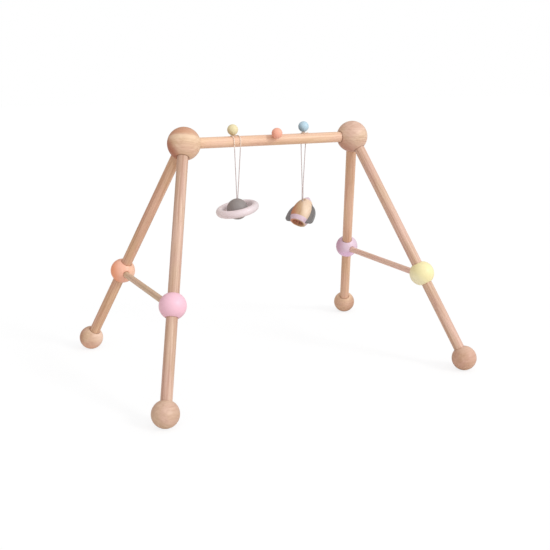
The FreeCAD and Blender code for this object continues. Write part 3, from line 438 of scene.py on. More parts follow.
def make_rocket_wood():
    """Bare wood with a painted base band and nose, painted shade and light on its two sides, and a
    hollow of bare, unpainted wood with painted shade deeper in.
    """
    net = MaterialNet("rocket_wood", srgb(224, 178, 144))
    place = net.grain_place()
    figure = wood_figure(net, place, ring_gap=5.2, pith=(13.0, 9.0), warp=4.0)
    wood = wood_color(net, figure, (197, 166, 128), contrast=1.2, lines=0.62)

    # the side away from the light is redder (painted shade over a redder wood tone), the lit side
    # nearly white (painted light)
    across = net.add(net.vector_math("DOT_PRODUCT", place, SHADE_AND_HEARTWOOD_SIDE),
                     net.swing(figure.blotch, width=14.0))
    wood = net.tint(wood, srgb(206, 133, 101), by=across, between=(-5.0, 13.0), smooth=True,
                    amount=0.86)
    wood = net.tint(wood, srgb(250, 228, 206), by=across, between=(-5.0, -14.0), smooth=True,
                    amount=0.66)

    # paint, with slightly ragged borders
    x, y, z = net.split(place)
    radius = net.vector_math("LENGTH", net.combine(x, y, 0.0))
    ragged = net.noise(place, size=(1 / 0.7, 1 / 0.7, 5), detail=3.0, rough=0.6)
    border = net.add(z, net.swing(ragged, width=0.30))
    band = net.multiply(net.span(border, between=(9.42, 9.20)),
                        net.span(border, between=(0.30, 0.50)))
    band = net.multiply(band, net.span(radius, between=(13.8, 14.2)))
    nose = net.span(border, between=(49.6, 49.8))
    cover = net.math("MAXIMUM", band, nose)
    cloud = net.noise(place, size=(1 / 0.12, 1 / 0.12, 1 / 0.12), detail=3.0)
    paint = net.mix(net.span(cloud, between=(0.35, 0.65)), srgb(219, 194, 210),
                    srgb(228, 205, 218))
    paint = net.tint(paint, srgb(190, 158, 178), by=figure.streak, between=(0.5, 0.75),
                     amount=0.22)
    worn = wear_mask(net, place, amount=0.5)
    color = net.mix(net.multiply(cover, net.subtract(1.0, worn)), wood, paint)

    # the bored hollow, tinted from about 3 mm in: unpainted wood with fine tool rings along its
    # wall, and painted shade as dark streaks
    depth = net.multiply(net.span(z, between=(13.0, 11.5)),
                         net.span(z, between=(2.6, 4.6), smooth=True))
    inside = net.multiply(net.span(radius, between=(12.4, 11.8)), depth)
    tool_rings = net.math("SINE", net.multiply(z, 9.0))
    hollow_wood_and_shade = net.mix(net.span(tool_rings, between=(-1.0, 1.0)), srgb(234, 180, 154),
                  srgb(216, 152, 128))
    # painted shade: dark streaks deeper in the hollow
    hollow_wood_and_shade = net.tint(hollow_wood_and_shade, srgb(112, 56, 36), by=figure.streak, between=(0.47, 0.60),
                   smooth=True, amount=0.80)
    color = net.tint(color, hollow_wood_and_shade, by=inside, amount=0.85)
    color = net.tint(color, srgb(150, 96, 70), by=net.edge(), amount=0.35)

    rough = net.add(net.span(figure.streak, between=(0.3, 0.7), to=(0.36, 0.46)),
                    net.multiply(inside, 0.3))
    height = net.multiply(wood_height(net, figure),
                          net.subtract(1.0, net.multiply(cover, 0.6)))
    net.shade(Base_Color=color, Roughness=rough, Specular_IOR_Level=0.42,
              Coat_Weight=0.12, Coat_Roughness=0.3,
              Normal=net.bump(height, distance=0.00009, strength=0.75))
    return net.material


# ------------------------------------------------------------------ paint, cord and metal

def make_paint(name, rgb, rough=0.42, wear=0.55, speckle=0.0, coat=0.12, streaks=0.05,
               painted_shading=None):
    """Paint on wood. tones: painted light and shade on a ball's sides, given as (ball, radius in
    mm, rows of side shading).
    """
    base = srgb(*rgb)
    net = MaterialNet(name, base)
    place = net.grain_place()
    deep, pale = scaled(base, 0.86), scaled(base, 1.07, offset=0.012)
    cloud = net.noise(place, size=(13, 13, 13), detail=3.0, rough=0.55)
    grain = net.noise(place, size=(0.9, 0.9, 16), detail=4.0, rough=0.6)
    peel = net.noise(place, size=(0.75, 0.75, 0.75))
    color = net.tint(base, deep, by=cloud, between=(0.35, 0.68), amount=0.22)
    color = net.tint(color, deep, by=grain, between=(0.52, 0.75), amount=streaks * 4)
    color = net.tint(color, pale, by=grain, between=(0.45, 0.25), amount=streaks * 3)
    if speckle:
        dots = net.noise(place, size=(0.55, 0.55, 0.55), rough=0.6)
        color = net.tint(color, pale, by=dots, between=(0.60, 0.72), amount=speckle)
        color = net.tint(color, scaled(base, 0.6), by=dots, between=(0.40, 0.30),
                         amount=speckle)
    # painted light and shade on the sides of the ball
    if painted_shading:
        ball, radius, rows = painted_shading
        color = painted_side_shading(net, color, centre_of(ball), radius, rows)
    worn = wear_mask(net, place, wear)
    color = net.tint(color, deep, by=net.edge(), amount=0.22)
    color = net.mix(worn, color, srgb(214, 172, 140))
    clouded = net.span(cloud, between=(0.3, 0.7), to=(rough - 0.04, rough + 0.05))
    height = net.add(net.multiply(grain, 0.55), net.multiply(peel, 0.45))
    height = net.subtract(height, net.multiply(worn, 1.2))
    net.shade(Base_Color=color, Roughness=net.add(clouded, net.multiply(worn, 0.2)),
              IOR=1.47, Specular_IOR_Level=0.45, Coat_Weight=coat, Coat_Roughness=0.30,
              Normal=net.bump(height, distance=0.00006, strength=0.7))
    return net.material


def make_cord():
    """Twisted cord: gco holds the turn round the ply, the length along it and the ply number."""
    net = MaterialNet("cord", srgb(226, 212, 208))
    turn, length, ply = net.split(net.grain_place())
    lay = net.add(net.multiply(turn, 1.0), net.multiply(length, 2.2))
    threads = net.math("SINE", net.multiply(lay, 5.0))
    fuzz_place = net.combine(net.multiply(turn, 2.5), net.multiply(length, 3.0), ply)
    fuzz = net.noise(fuzz_place, detail=4.0, rough=0.65)
    drift = net.noise(net.combine(0.0, net.multiply(length, 0.22), ply))
    color = net.mix(net.span(drift, between=(0.35, 0.65)), srgb(216, 204, 203),
                    srgb(207, 193, 193))
    crevice_shade = net.edge()
    # painted shade in the grooves where the plies press together
    color = net.tint(color, srgb(182, 162, 158), by=crevice_shade, amount=0.30)
    color = net.mix(net.span(threads, between=(0.1, 1.0), to=(0.0, 0.12)), color,
                    srgb(194, 178, 174))
    color = net.tint(color, srgb(236, 228, 226), by=fuzz, between=(0.5, 0.8), amount=0.25)
    # painted light: warmer and paler near the bar, for light thrown back by the bar, with painted
    # shade in the grooves
    z = net.split(net.object_mm())[2]
    bar_bounce_light = net.mix(net.multiply(crevice_shade, 0.4), srgb(255, 240, 224), srgb(220, 176, 150))
    color = net.tint(color, bar_bounce_light, by=z, between=(416.0, 423.0), smooth=True, amount=0.85)
    height = net.add(net.multiply(threads, 0.5), fuzz)
    net.shade(Base_Color=color, Roughness=0.86, Specular_IOR_Level=0.18,
              Sheen_Weight=0.25, Sheen_Roughness=0.5,
              Normal=net.bump(height, distance=0.00006, strength=0.9))
    return net.material


def make_metal(name, rgb, rough):
    base = srgb(*rgb)
    net = MaterialNet(name, base)
    place = net.object_mm()
    scratch = net.noise(place, size=(0.08, 1.2, 0.08), detail=3.0, rough=0.6)
    cloud = net.noise(place, size=(3, 3, 3), detail=3.0)
    net.shade(Base_Color=net.mix(net.span(cloud, between=(0.35, 0.7)), base, scaled(base, 0.72)),
              Metallic=1.0,
              Roughness=net.span(scratch, between=(0.25, 0.75), to=(rough - 0.08, rough + 0.12)),
              Normal=net.bump(scratch, distance=0.00002, strength=0.6))
    return net.material


LEG_GRAIN = dict(ring_gap=4.6, pith=(38.0, 21.0))
THIN_GRAIN = dict(contrast=1.1, ring_gap=3.8, pith=(27.0, 14.0))
WOODS = {
    # the hubs' strong dark socket rings are painted shade in the gap round each leg and the bar
    "hub_left": dict(rgb=(224, 190, 163), contrast=0.62, ring_gap=5.8, pith=(30.0, 9.0),
                     lines=0.22, bands=left_hub_bands_and_shade, worn=0.8),
    "hub_right": dict(rgb=(221, 189, 167), contrast=0.75, ring_gap=5.4, pith=(34.0, 9.0),
                      lines=0.22, bands=right_hub_bands_and_shade, worn=0.8),
    # the feet's tones: painted light and shade, sides darkened or lightened to copy how each ball
    # is lit
    "foot_fl": dict(
        rgb=(210, 178, 156), contrast=0.55, ring_gap=5.6, pith=(26.0, 14.0), lines=0.25,
        painted_shading=("foot_front_left", 23.5, [(1.0, 0.0, 0.3, 0.95, (188, 152, 132), 0.4)])),
    "foot_bl": dict(
        rgb=(210, 176, 152), contrast=0.6, ring_gap=5.2, pith=(20.0, 12.0), lines=0.25,
        painted_shading=("foot_back_left", 23.5, [(-0.95, 0.1, 0.3, 0.98, (172, 104, 78), 0.45),
                                        (0.9, 0.35, 0.1, 0.9, (246, 220, 202), 0.56),
                                        (-0.3, -0.95, 0.3, 0.95, (244, 196, 166), 0.6)])),
    "foot_br": dict(
        rgb=(214, 178, 152), contrast=0.65, ring_gap=5.0, pith=(20.0, 12.0), lines=0.3,
        painted_shading=("foot_back_right", 23.5, [(0.95, -0.3, 0.1, 0.9, (168, 122, 94), 0.55),
                                         (-0.2, 1.0, 0.1, 0.8, (244, 210, 180), 0.56)])),
    "foot_fr": dict(
        rgb=(204, 165, 142), contrast=0.5, ring_gap=6.0, pith=(30.0, 12.0), lines=0.2,
        painted_shading=("foot_front_right", 23.5, [(0.0, 1.0, 0.2, 0.9, (232, 198, 178), 0.6)])),
    "bar": dict(rgb=(233, 196, 168), lines=0.40, **LEG_GRAIN),
    "leg_fl": dict(rgb=(209, 176, 157), contrast=1.25, lines=0.85, **LEG_GRAIN),
    "leg_bl": dict(rgb=(217, 177, 149), contrast=1.15, lines=0.75, **LEG_GRAIN),
    "leg_br": dict(rgb=(224, 186, 158), contrast=1.05, lines=0.60, **LEG_GRAIN),
    "leg_fr": dict(rgb=(217, 183, 163), contrast=1.25, lines=0.85, **LEG_GRAIN),
    "thin_left": dict(rgb=(215, 188, 162), **THIN_GRAIN),
    "thin_right": dict(rgb=(237, 203, 189), **THIN_GRAIN),
    "pin": dict(rgb=(214, 176, 150), by_object=True, contrast=0.9),
}
PAINTS = {
    # tones: painted light and shade on the balls, darker and more saturated on shaded sides,
    # lighter toward the light or the floor
    "orange": dict(
        rgb=(248, 192, 168),
        painted_shading=("brace_ball_orange", 23.5, [(-1.0, -0.15, -0.1, 0.9, (255, 150, 87), 0.62),
                                           (1.0, 0.1, 0.2, 0.95, (242, 208, 180), 0.5)])),
    "pink": dict(rgb=(247, 201, 219)),
    "lilac": dict(
        rgb=(232, 211, 230),
        painted_shading=("brace_ball_lilac", 23.5, [(-1.0, 0.1, 0.1, 0.95, (204, 139, 177), 0.5),
                                          (0.1, -1.0, 0.2, 0.9, (252, 208, 255), 0.7),
                                          (1.0, 0.2, 0.2, 0.95, (212, 188, 206), 0.5)])),
    "yellow": dict(
        rgb=(250, 241, 187),
        painted_shading=("brace_ball_yellow", 23.5, [(-0.6, -0.8, 0.1, 0.9, (255, 252, 216), 0.85)])),
    "pale_yellow": dict(
        rgb=(236, 225, 181), wear=0.3,
        painted_shading=("knob_ball_yellow", 10.0, [(-0.62, -0.78, 0.20, 0.93, (146, 120, 68), 0.48)])),
    "coral": dict(
        rgb=(252, 184, 160), wear=0.3,
        painted_shading=("knob_ball_coral", 10.0, [(-0.9, -0.4, 0.2, 0.9, (222, 134, 104), 0.34)])),
    "blue": dict(
        rgb=(186, 217, 234), wear=0.3,
        painted_shading=("knob_ball_blue", 10.0, [(-0.75, -0.66, 0.1, 0.9, (90, 126, 146), 0.60)])),
    "planet_grey": dict(rgb=(148, 142, 141), rough=0.50, speckle=0.30, coat=0.05, wear=0.4),
    "fin_grey": dict(rgb=(136, 136, 138), rough=0.52, speckle=0.18, coat=0.04, wear=0.35,
                     streaks=0.08),
    # the ring's tones: painted shade on its right part, painted light on its left
    "blush": dict(
        rgb=(237, 224, 229), rough=0.46, wear=0.25, streaks=0.14,
        painted_shading=("saturn_planet", 40.0, [(1.0, 0.3, 0.35, 0.95, (214, 208, 212), 0.6),
                                       (-1.0, 0.0, 0.4, 0.95, (250, 244, 246), 0.6)])),
}
MATERIAL = {}
for make, prefix, table in ((make_wood, "bare_wood_", WOODS), (make_paint, "paint_", PAINTS)):
    for key, settings in table.items():
        MATERIAL[prefix + key] = make(prefix + key, **settings)
MATERIAL["rocket_wood"] = make_rocket_wood()
MATERIAL["cord"] = make_cord()
MATERIAL["bolt_steel"] = make_metal("bolt_steel", (196, 197, 199), rough=0.32)
MATERIAL["insert_brass"] = make_metal("insert_brass", (214, 178, 104), rough=0.30)


# ------------------------------------------------------------------ mesh helpers

def frame_of(axis, hint=(0, 0, 1)):
    """Matrix whose Z is axis and whose X leans toward hint."""
    z = Vector(axis).normalized()
    hint = Vector(hint)
    if abs(hint.normalized().dot(z)) > 0.98:
        hint = Vector((0, 1, 0)) if abs(z.y) < 0.9 else Vector((1, 0, 0))
    x = (hint - z * hint.dot(z)).normalized()
    return Matrix((x, z.cross(x), z)).transposed()


def new_mesh(name, verts, faces):
    mesh = bpy.data.meshes.new(name)
    mesh.from_pydata([tuple(v) for v in verts], [], faces)
    mesh.validate()
    ob = bpy.data.objects.new(name, mesh)
    scene.collection.objects.link(ob)
    bm = bmesh.new()
    bm.from_mesh(mesh)
    bmesh.ops.recalc_face_normals(bm, faces=bm.faces)
    bm.to_mesh(mesh)
    bm.free()
    mesh.polygons.foreach_set("use_smooth", [True] * len(mesh.polygons))
    return ob


def lathe(name, profile, segments, origin, rotation, relief=None):
    """Turns an outline of (radius, height) round the local Z; a radius of 0 is a pole."""
    verts, rings = [], []
    angles = np.arange(segments) / segments * TAU
    for radius, height in profile:
        first = len(verts)
        if radius < 1e-9:
            verts.append((0.0, 0.0, height))
            rings.append([first])
            continue
        reach = radius + (relief(angles, height, radius) if relief else 0.0)
        verts.extend(zip(np.cos(angles) * reach, np.sin(angles) * reach, [height] * segments))
        rings.append(range(first, first + segments))
    pairs = list(zip(rings, rings[1:]))
    if len(rings[0]) > 1 and len(rings[-1]) > 1:
        pairs.append((rings[-1], rings[0]))
    faces = []
    for a, b in pairs:
        for i in range(segments):
            j = (i + 1) % segments
            if len(a) == 1:
                faces.append((a[0], b[j], b[i]))
            elif len(b) == 1:
                faces.append((a[i], a[j], b[0]))
            else:
                faces.append((a[i], a[j], b[j], b[i]))
    placed = np.array(verts, float) @ np.array(rotation, float).T + np.array(origin, float)
    return new_mesh(name, placed, faces)


# waves round a turned piece: count, weight
RIPPLE_WAVES = ((2, 1.0), (3, 0.7), (5, 0.6), (9, 0.5), (14, 0.45), (21, 0.35), (33, 0.25))


def ripple(seed, amount, stretch=70.0, inner=0.0, full=None):
    """Smooth relief along the grain, none up to radius inner, fading in up to radius full."""
    random = np.random.RandomState(seed)
    waves = [(count, weight, random.uniform(0, TAU),
              random.uniform(-1, 1) * count / (stretch * MM) * 0.35,
              random.uniform(0, TAU), random.uniform(0.6, 1.4))
             for count, weight in RIPPLE_WAVES]
    total = sum(weight for _, weight in RIPPLE_WAVES)

    def relief(angles, height, radius):
        out = np.zeros_like(angles)
        for count, weight, phase, drift, swell_phase, rate in waves:
            swell = 0.65 + 0.35 * np.sin(height / (stretch * MM) * TAU * rate + swell_phase)
            out += weight * np.sin(count * angles + phase + drift * height) * swell
        fade = min(1.0, radius / full) if full else 1.0
        return amount * out / total * (fade if radius > inner else 0.0)
    return relief


def arc(centre_x, centre_z, radius, start, end, steps):
    angles = [start + (end - start) * i / steps for i in range(steps + 1)]
    return [(centre_x + radius * math.cos(a), centre_z + radius * math.sin(a)) for a in angles]


def dowel_profile(radius, length, chamfer=0.8 * MM, step=2.6 * MM):
    flat = radius - chamfer
    points = [(0.0, 0.0), (radius * 0.5, 0.0), (flat, 0.0)]
    points += arc(flat, chamfer, chamfer, -math.pi / 2 + 0.35, 0, 3)
    count = max(2, int((length - 2 * chamfer) / step))
    points += [(radius, chamfer + (length - 2 * chamfer) * i / count) for i in range(1, count)]
    points += arc(flat, length - chamfer, chamfer, 0, math.pi / 2 - 0.35, 3)
    return points + [(flat, length), (radius * 0.5, length), (0.0, length)]


def ball_arc(radius, start, end, count):
    return [(radius * math.cos(t), radius * math.sin(t)) for t in np.linspace(start, end, count)]


def ball_mouth(radius, bore, fillet, steps=7):
    """Height, latitude and points of the rounded edge of a bore at the top of a ball."""
    height = math.sqrt((radius - fillet) ** 2 - (bore + fillet) ** 2)
    latitude = math.atan2(height, bore + fillet)
    return height, latitude, arc(bore + fillet, height, fillet, latitude, math.pi, steps)[1:]


def blind_ball(radius, bore, floor, fillet, count):
    """Outline of a ball bored from the top down to floor."""
    height, latitude, mouth = ball_mouth(radius, bore, fillet)
    points = [(0.0, -radius)] + ball_arc(radius, -math.pi / 2, latitude, count)[1:] + mouth
    steps = max(2, int((height - floor) / (2 * MM)))
    points += [(bore, height - (height - floor) * i / steps) for i in range(1, steps)]
    return points + [(bore, floor), (bore * 0.5, floor), (0.0, floor)]


def through_ball(radius, bore, fillet, count):
    """Outline of a ball bored right through."""
    height, latitude, mouth = ball_mouth(radius, bore, fillet)
    steps = max(2, int(2 * height / (2 * MM)))
    wall = [(bore, height - 2 * height * i / steps) for i in range(1, steps)]
    return (ball_arc(radius, -latitude, latitude, count) + mouth + wall
            + [(r, -z) for r, z in reversed(mouth)])


def drill(name, origin, way, bore, floor, mouth, fillet=1.0 * MM, segments=72):
    """A drill with a flared shoulder: leaves a bore whose mouth edge is eased."""
    slope = 0.8 * math.pi / 2
    flare, overshoot = 4 * MM, 12 * MM
    points = [(0.0, floor), (bore, floor), (bore, mouth - fillet)]
    points += arc(bore + fillet, mouth - fillet, fillet, math.pi, math.pi - slope, 6)[1:]
    radius, z = points[-1]
    radius += math.sin(slope) * flare
    points += [(radius, z + math.cos(slope) * flare), (radius, mouth + overshoot),
               (0.0, mouth + overshoot)]
    return lathe(name, points, segments, origin, frame_of(way))


def carve(ob, cutters):
    """Cut away the cutters, remove them and clean up the mesh."""
    for cutter in cutters:
        modifier = ob.modifiers.new("cut", "BOOLEAN")
        modifier.operation = "DIFFERENCE"
        modifier.solver = "EXACT"
        modifier.object = cutter
    depsgraph = bpy.context.evaluated_depsgraph_get()
    mesh = bpy.data.meshes.new_from_object(ob.evaluated_get(depsgraph))
    ob.modifiers.clear()
    old = ob.data
    ob.data = mesh
    mesh.name = ob.name
    bpy.data.meshes.remove(old)
    for cutter in cutters:
        cutter_mesh = cutter.data
        bpy.data.objects.remove(cutter)
        bpy.data.meshes.remove(cutter_mesh)
    bm = bmesh.new()
    bm.from_mesh(mesh)
    bmesh.ops.remove_doubles(bm, verts=bm.verts, dist=2e-6)
    bmesh.ops.dissolve_degenerate(bm, edges=bm.edges, dist=2e-6)
    bm.to_mesh(mesh)
    bm.free()


def coords(ob):
    flat = np.empty(len(ob.data.vertices) * 3, np.float32)
    ob.data.vertices.foreach_get("co", flat)
    return flat.reshape(-1, 3).astype(float)


def local_coords(ob, origin, rotation):
    return (coords(ob) - np.array(origin, float)) @ np.array(rotation, float)


def set_attribute(ob, name, values):
    """A point attribute: vectors from a 2D array, numbers from a 1D array."""
    kind, key = ("FLOAT_VECTOR", "vector") if values.ndim == 2 else ("FLOAT", "value")
    attribute = ob.data.attributes.new(name, kind, "POINT")
    attribute.data.foreach_set(key, np.asarray(values, np.float32).ravel())


def set_grain(ob, origin, axis, hint=(0, 0, 1), shift=(0, 0, 0)):
    """Grain coordinates in mm, z along axis."""
    local = local_coords(ob, origin, frame_of(axis, hint))
    set_attribute(ob, "gco", local * 1000 + np.array(shift, float))


def set_edges(ob, rings=(), width=0.9 * MM):
    """Edge marks near rings, for wear and for painted shade at bare-wood bore mouths: (point,
    direction, radius, least distance along the direction).
    """
    places = coords(ob)
    wear = np.zeros(len(places))
    for point, way, radius, along in rings:
        way = np.array(Vector(way).normalized(), float)
        offset = places - np.array(point, float)
        height = offset @ way
        distance = np.abs(np.linalg.norm(offset - np.outer(height, way), axis=1) - radius)
        beyond = np.clip((height - along) / (0.5 * MM), 0, 1)
        wear = np.maximum(wear, np.exp(-(distance / width) ** 2) * beyond)
    set_attribute(ob, "edge", wear)


def finish(ob, material, node, body="frame", angle=38):
    ob.data.polygons.foreach_set("use_smooth", [True] * len(ob.data.polygons))
    ob.data.set_sharp_from_angle(angle=math.radians(angle))
    ob.data.materials.clear()
    ob.data.materials.append(MATERIAL[material])
    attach(ob, body)
    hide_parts(node)


# Turned radii are lowered by this so that the relief stays near the CAD size
SKIN, THIN_SKIN = 0.03 * MM, 0.02 * MM


# ------------------------------------------------------------------ legs, bar, crossbars

def build_leg(leg, seed):
    start = leg.crossing + leg.way * LEG_TOP
    length = (leg.foot + leg.way * LEG_BELOW_FOOT - start).length
    ob = lathe(f"leg_{leg.corner}_wood", dowel_profile(LEG_R - SKIN, length), 88, start,
               frame_of(leg.way, FRONT), ripple(seed, 0.055 * MM))
    set_grain(ob, start, leg.way, FRONT, shift=(seed * 31.0, seed * 17.0, seed * 53.0))
    set_edges(ob)
    finish(ob, f"bare_wood_leg_{leg.short}", f"leg_{leg.corner}")


def build_bar():
    start = Vector((BAR_LO.x, 0, BAR_Z))
    profile = dowel_profile(BAR_R - SKIN, BAR_HI.x - BAR_LO.x, step=2.2 * MM)
    ob = lathe("top_bar_wood", profile, 96, start, frame_of((1, 0, 0), FRONT),
               ripple(40, 0.055 * MM))
    carve(ob, [drill(f"cut_knob_{colour}", knob.at, knob.way, bore=KNOB_BORE,
                     floor=-0.6 * MM, mouth=9.95 * MM, fillet=0.35 * MM, segments=40)
               for colour, knob in KNOB.items()])
    set_grain(ob, start, (1, 0, 0), FRONT, shift=(111.0, 47.0, 300.0))
    set_edges(ob, [(knob.at, knob.way, 2.8 * MM, 5 * MM) for knob in KNOB.values()],
              width=0.35 * MM)
    finish(ob, "bare_wood_bar", "top_bar")


def build_crossbar(side, seed):
    node = f"crossbar_{side}"
    lo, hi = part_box(node)
    start = centre_of(node)
    start.y = lo.y
    profile = dowel_profile(CROSS_R - THIN_SKIN, hi.y - lo.y, chamfer=0.6 * MM, step=2.2 * MM)
    ob = lathe(f"{node}_wood", profile, 64, start, frame_of((0, 1, 0)),
               ripple(50 + seed, 0.04 * MM))
    set_grain(ob, start, (0, 1, 0), shift=(seed * 37.0, seed * 13.0, seed * 29.0))
    set_edges(ob)
    finish(ob, f"bare_wood_thin_{side}", node)


for seed, leg in enumerate(LEGS, 10):
    build_leg(leg, seed)
build_bar()
for seed, side in enumerate(SIDES, 14):
    build_crossbar(side, seed)


# ------------------------------------------------------------------ balls

def build_hub(side, sign):
    """A ball with two leg bores and one bar bore, their mouths found where they leave it."""
    centre = HUB[side]
    radius = HUB_R - SKIN
    profile = ([(0.0, -radius)] + ball_arc(radius, -math.pi / 2, math.pi / 2, 96)[1:-1]
               + [(0.0, radius)])
    ob = lathe(f"hub_{side}_wood", profile, 144, centre, frame_of((0, 1, 0)),
               ripple(61 + sign, 0.05 * MM, stretch=18.0, full=radius / 2))
    ease = 0.5 * MM
    rim = 0.6 * MM
    raised = 0.55 * MM
    tools, rings = [], []
    for leg in LEGS:
        if leg.side != side:
            continue
        offset = leg.crossing - centre
        along = offset.dot(leg.way)
        aside_squared = offset.dot(offset) - along * along
        bore = LEG_R + PLAY
        mouth = -along + math.sqrt(HUB_R ** 2 - (bore + ease) ** 2 - aside_squared)
        tools.append(drill(f"cut_{leg.corner}", leg.crossing, leg.way, bore=bore,
                           floor=24.5 * MM, mouth=mouth + raised))
        rings.append((leg.crossing, leg.way, bore + rim, mouth * 0.8))
    bore = BAR_R + PLAY
    mouth = math.sqrt(HUB_R ** 2 - (bore + ease) ** 2)
    inward = Vector((-sign, 0, 0))
    tools.append(drill(f"cut_bar_{side}", centre, inward, bore=bore, floor=10.0 * MM,
                       mouth=mouth + raised))
    rings.append((centre, inward, bore + rim, mouth * 0.8))
    carve(ob, tools)
    set_grain(ob, centre, (1.0, 0.16 * sign, 0.10 * sign), (0.1, -0.25, 1),
              shift=(4.0 * sign, -3.0, 90.0 * sign))
    set_edges(ob, rings, width=0.7 * MM)
    finish(ob, f"bare_wood_hub_{side}", f"hub_{side}")


def build_foot(index, leg):
    up = leg.way * -1
    bore = LEG_R + PLAY
    profile = blind_ball(FOOT_R - SKIN, bore, floor=-2.4 * MM, fillet=1.0 * MM, count=84)
    ob = lathe(f"foot_{leg.corner}_wood", profile, 132, leg.foot, frame_of(up, FRONT),
               ripple(71 + index, 0.05 * MM, stretch=18.0, inner=bore + 1 * MM, full=6 * MM))
    places = coords(ob)
    places[:, 2] = np.maximum(places[:, 2], 0.0)          # the small flat it stands on
    ob.data.vertices.foreach_set("co", places.astype(np.float32).ravel())
    set_grain(ob, leg.foot, (1.0, 0.25, 0.12 * SIDES[leg.side]),
              shift=(index * 41.0, index * 5.0 - 6.0, index * 77.0))
    set_edges(ob, [(leg.foot, up, bore + 0.6 * MM, 15 * MM)], width=0.7 * MM)
    finish(ob, f"bare_wood_foot_{leg.short}", f"foot_{leg.corner}")


def build_brace(index, leg):
    """A painted ball on the leg, with a blind hole for the crossbar."""
    centre = leg.brace
    bore = LEG_R + PLAY
    profile = through_ball(BRACE_R - SKIN, bore, fillet=1.0 * MM, count=96)
    ob = lathe(f"brace_{leg.colour}_painted", profile, 140, centre, frame_of(leg.way, FRONT),
               ripple(81 + index, 0.04 * MM, stretch=16.0, inner=bore + 1 * MM))
    inward = Vector((0, -leg.y_sign, 0))
    hole = centre - Vector((0, 0, CROSSBAR_DROP))
    hole_r = CROSS_R + PLAY
    mouth = math.sqrt(BRACE_R ** 2 - CROSSBAR_DROP ** 2 - (hole_r + 0.4 * MM) ** 2)
    carve(ob, [drill(f"cut_cross_{index}", hole, inward, bore=hole_r, floor=14.8 * MM,
                     mouth=mouth + 0.35 * MM, fillet=0.7 * MM, segments=56)])
    set_grain(ob, centre, (0.2, 0.9, 0.3), shift=(index * 19.0, index * 11.0, index * 23.0))
    set_edges(ob, [(centre, leg.way, bore + 0.7 * MM, 15 * MM),
                   (centre, leg.way * -1, bore + 0.7 * MM, 15 * MM),
                   (hole, inward, hole_r + 0.4 * MM, 14 * MM)], width=0.55 * MM)
    finish(ob, f"paint_{leg.colour}", f"brace_ball_{leg.colour}")


def build_knob(index, colour, knob):
    down = knob.way * -1
    profile = blind_ball(knob.radius - THIN_SKIN, KNOB_BORE, floor=0.0, fillet=0.5 * MM,
                         count=56)
    ob = lathe(f"bead_{colour}_painted", profile, 84, knob.centre, frame_of(down, FRONT),
               ripple(91 + index, 0.025 * MM, stretch=9.0, inner=3.4 * MM, full=3 * MM))
    set_grain(ob, knob.centre, (0.3, 0.2, 1), (0, 1, 0),
              shift=(index * 13.0, index * 17.0, index * 7.0))
    set_edges(ob, [(knob.centre, down, 2.9 * MM, 7 * MM)], width=0.4 * MM)
    paint = "pale_yellow" if colour == "yellow" else colour
    finish(ob, f"paint_{paint}", f"knob_ball_{colour}")


for side, sign in SIDES.items():
    build_hub(side, sign)
for index, leg in enumerate(LEGS):
    build_foot(index, leg)
for index, leg in enumerate(LEGS):
    build_brace(index, leg)
for index, (colour, knob) in enumerate(KNOB.items()):
    build_knob(index, colour, knob)


# ------------------------------------------------------------------ ringed planet

PLANET = Vector(JOINT["saturn_ring_rock"]["pos_m"])
PLANET_R = half_size("saturn_planet", 0)
RING_MID, RING_R = 33.0 * MM, 7.2 * MM
RING_YAW, RING_TILT = 6.4, -12.2          # degrees
PIN_LINE = Matrix.Rotation(math.radians(RING_YAW), 3, "Z") @ Vector((0, 1, 0))


def planet_profile(radius, hole, well, deep, fillet=0.7 * MM):
    """Cord hole from the top, wider knot well from below, both mouths rounded."""
    top, top_latitude, mouth = ball_mouth(radius, hole, fillet, steps=6)
    low, low_latitude, _ = ball_mouth(radius, well, fillet)
    floor = deep - radius
    ease = 0.4 * MM
    points = ball_arc(radius, -low_latitude, top_latitude, 80) + mouth
    points += [(hole, top - (top - floor) * i / 14) for i in range(1, 14)]
    points += [(hole, floor + 0.3 * MM), (hole + 0.3 * MM, floor), (well - ease, floor),
               (well, floor - ease)]
    points += [(well, floor - ease - (floor - ease + low) * i / 4) for i in range(1, 5)]
    return points + arc(well + fillet, -low, fillet, math.pi, TAU - low_latitude, 6)[1:-1]


def build_planet():
    profile = planet_profile(PLANET_R - SKIN, hole=2.0 * MM, well=5.0 * MM, deep=10.0 * MM)
    ob = lathe("planet_painted", profile, 144, PLANET, frame_of((0, 0, 1), FRONT),
               ripple(101, 0.045 * MM, stretch=14.0, inner=6 * MM))
    carve(ob, [drill(f"cut_pin_{k}", PLANET, PIN_LINE * k, bore=1.53 * MM, floor=11.7 * MM,
                     mouth=PLANET_R, fillet=0.3 * MM, segments=36) for k in (-1, 1)])
    set_grain(ob, PLANET, (0.2, 0.3, 1), (0, 1, 0), shift=(3.0, 5.0, 7.0))
    set_edges(ob, [(PLANET, (0, 0, 1), 2.5 * MM, 12 * MM), (PLANET, (0, 0, -1), 5.5 * MM, 12 * MM),
                   (PLANET, PIN_LINE, 1.8 * MM, 15 * MM),
                   (PLANET, PIN_LINE * -1, 1.8 * MM, 15 * MM)], width=0.5 * MM)
    finish(ob, "paint_planet_grey", "saturn_planet", body="saturn_planet")


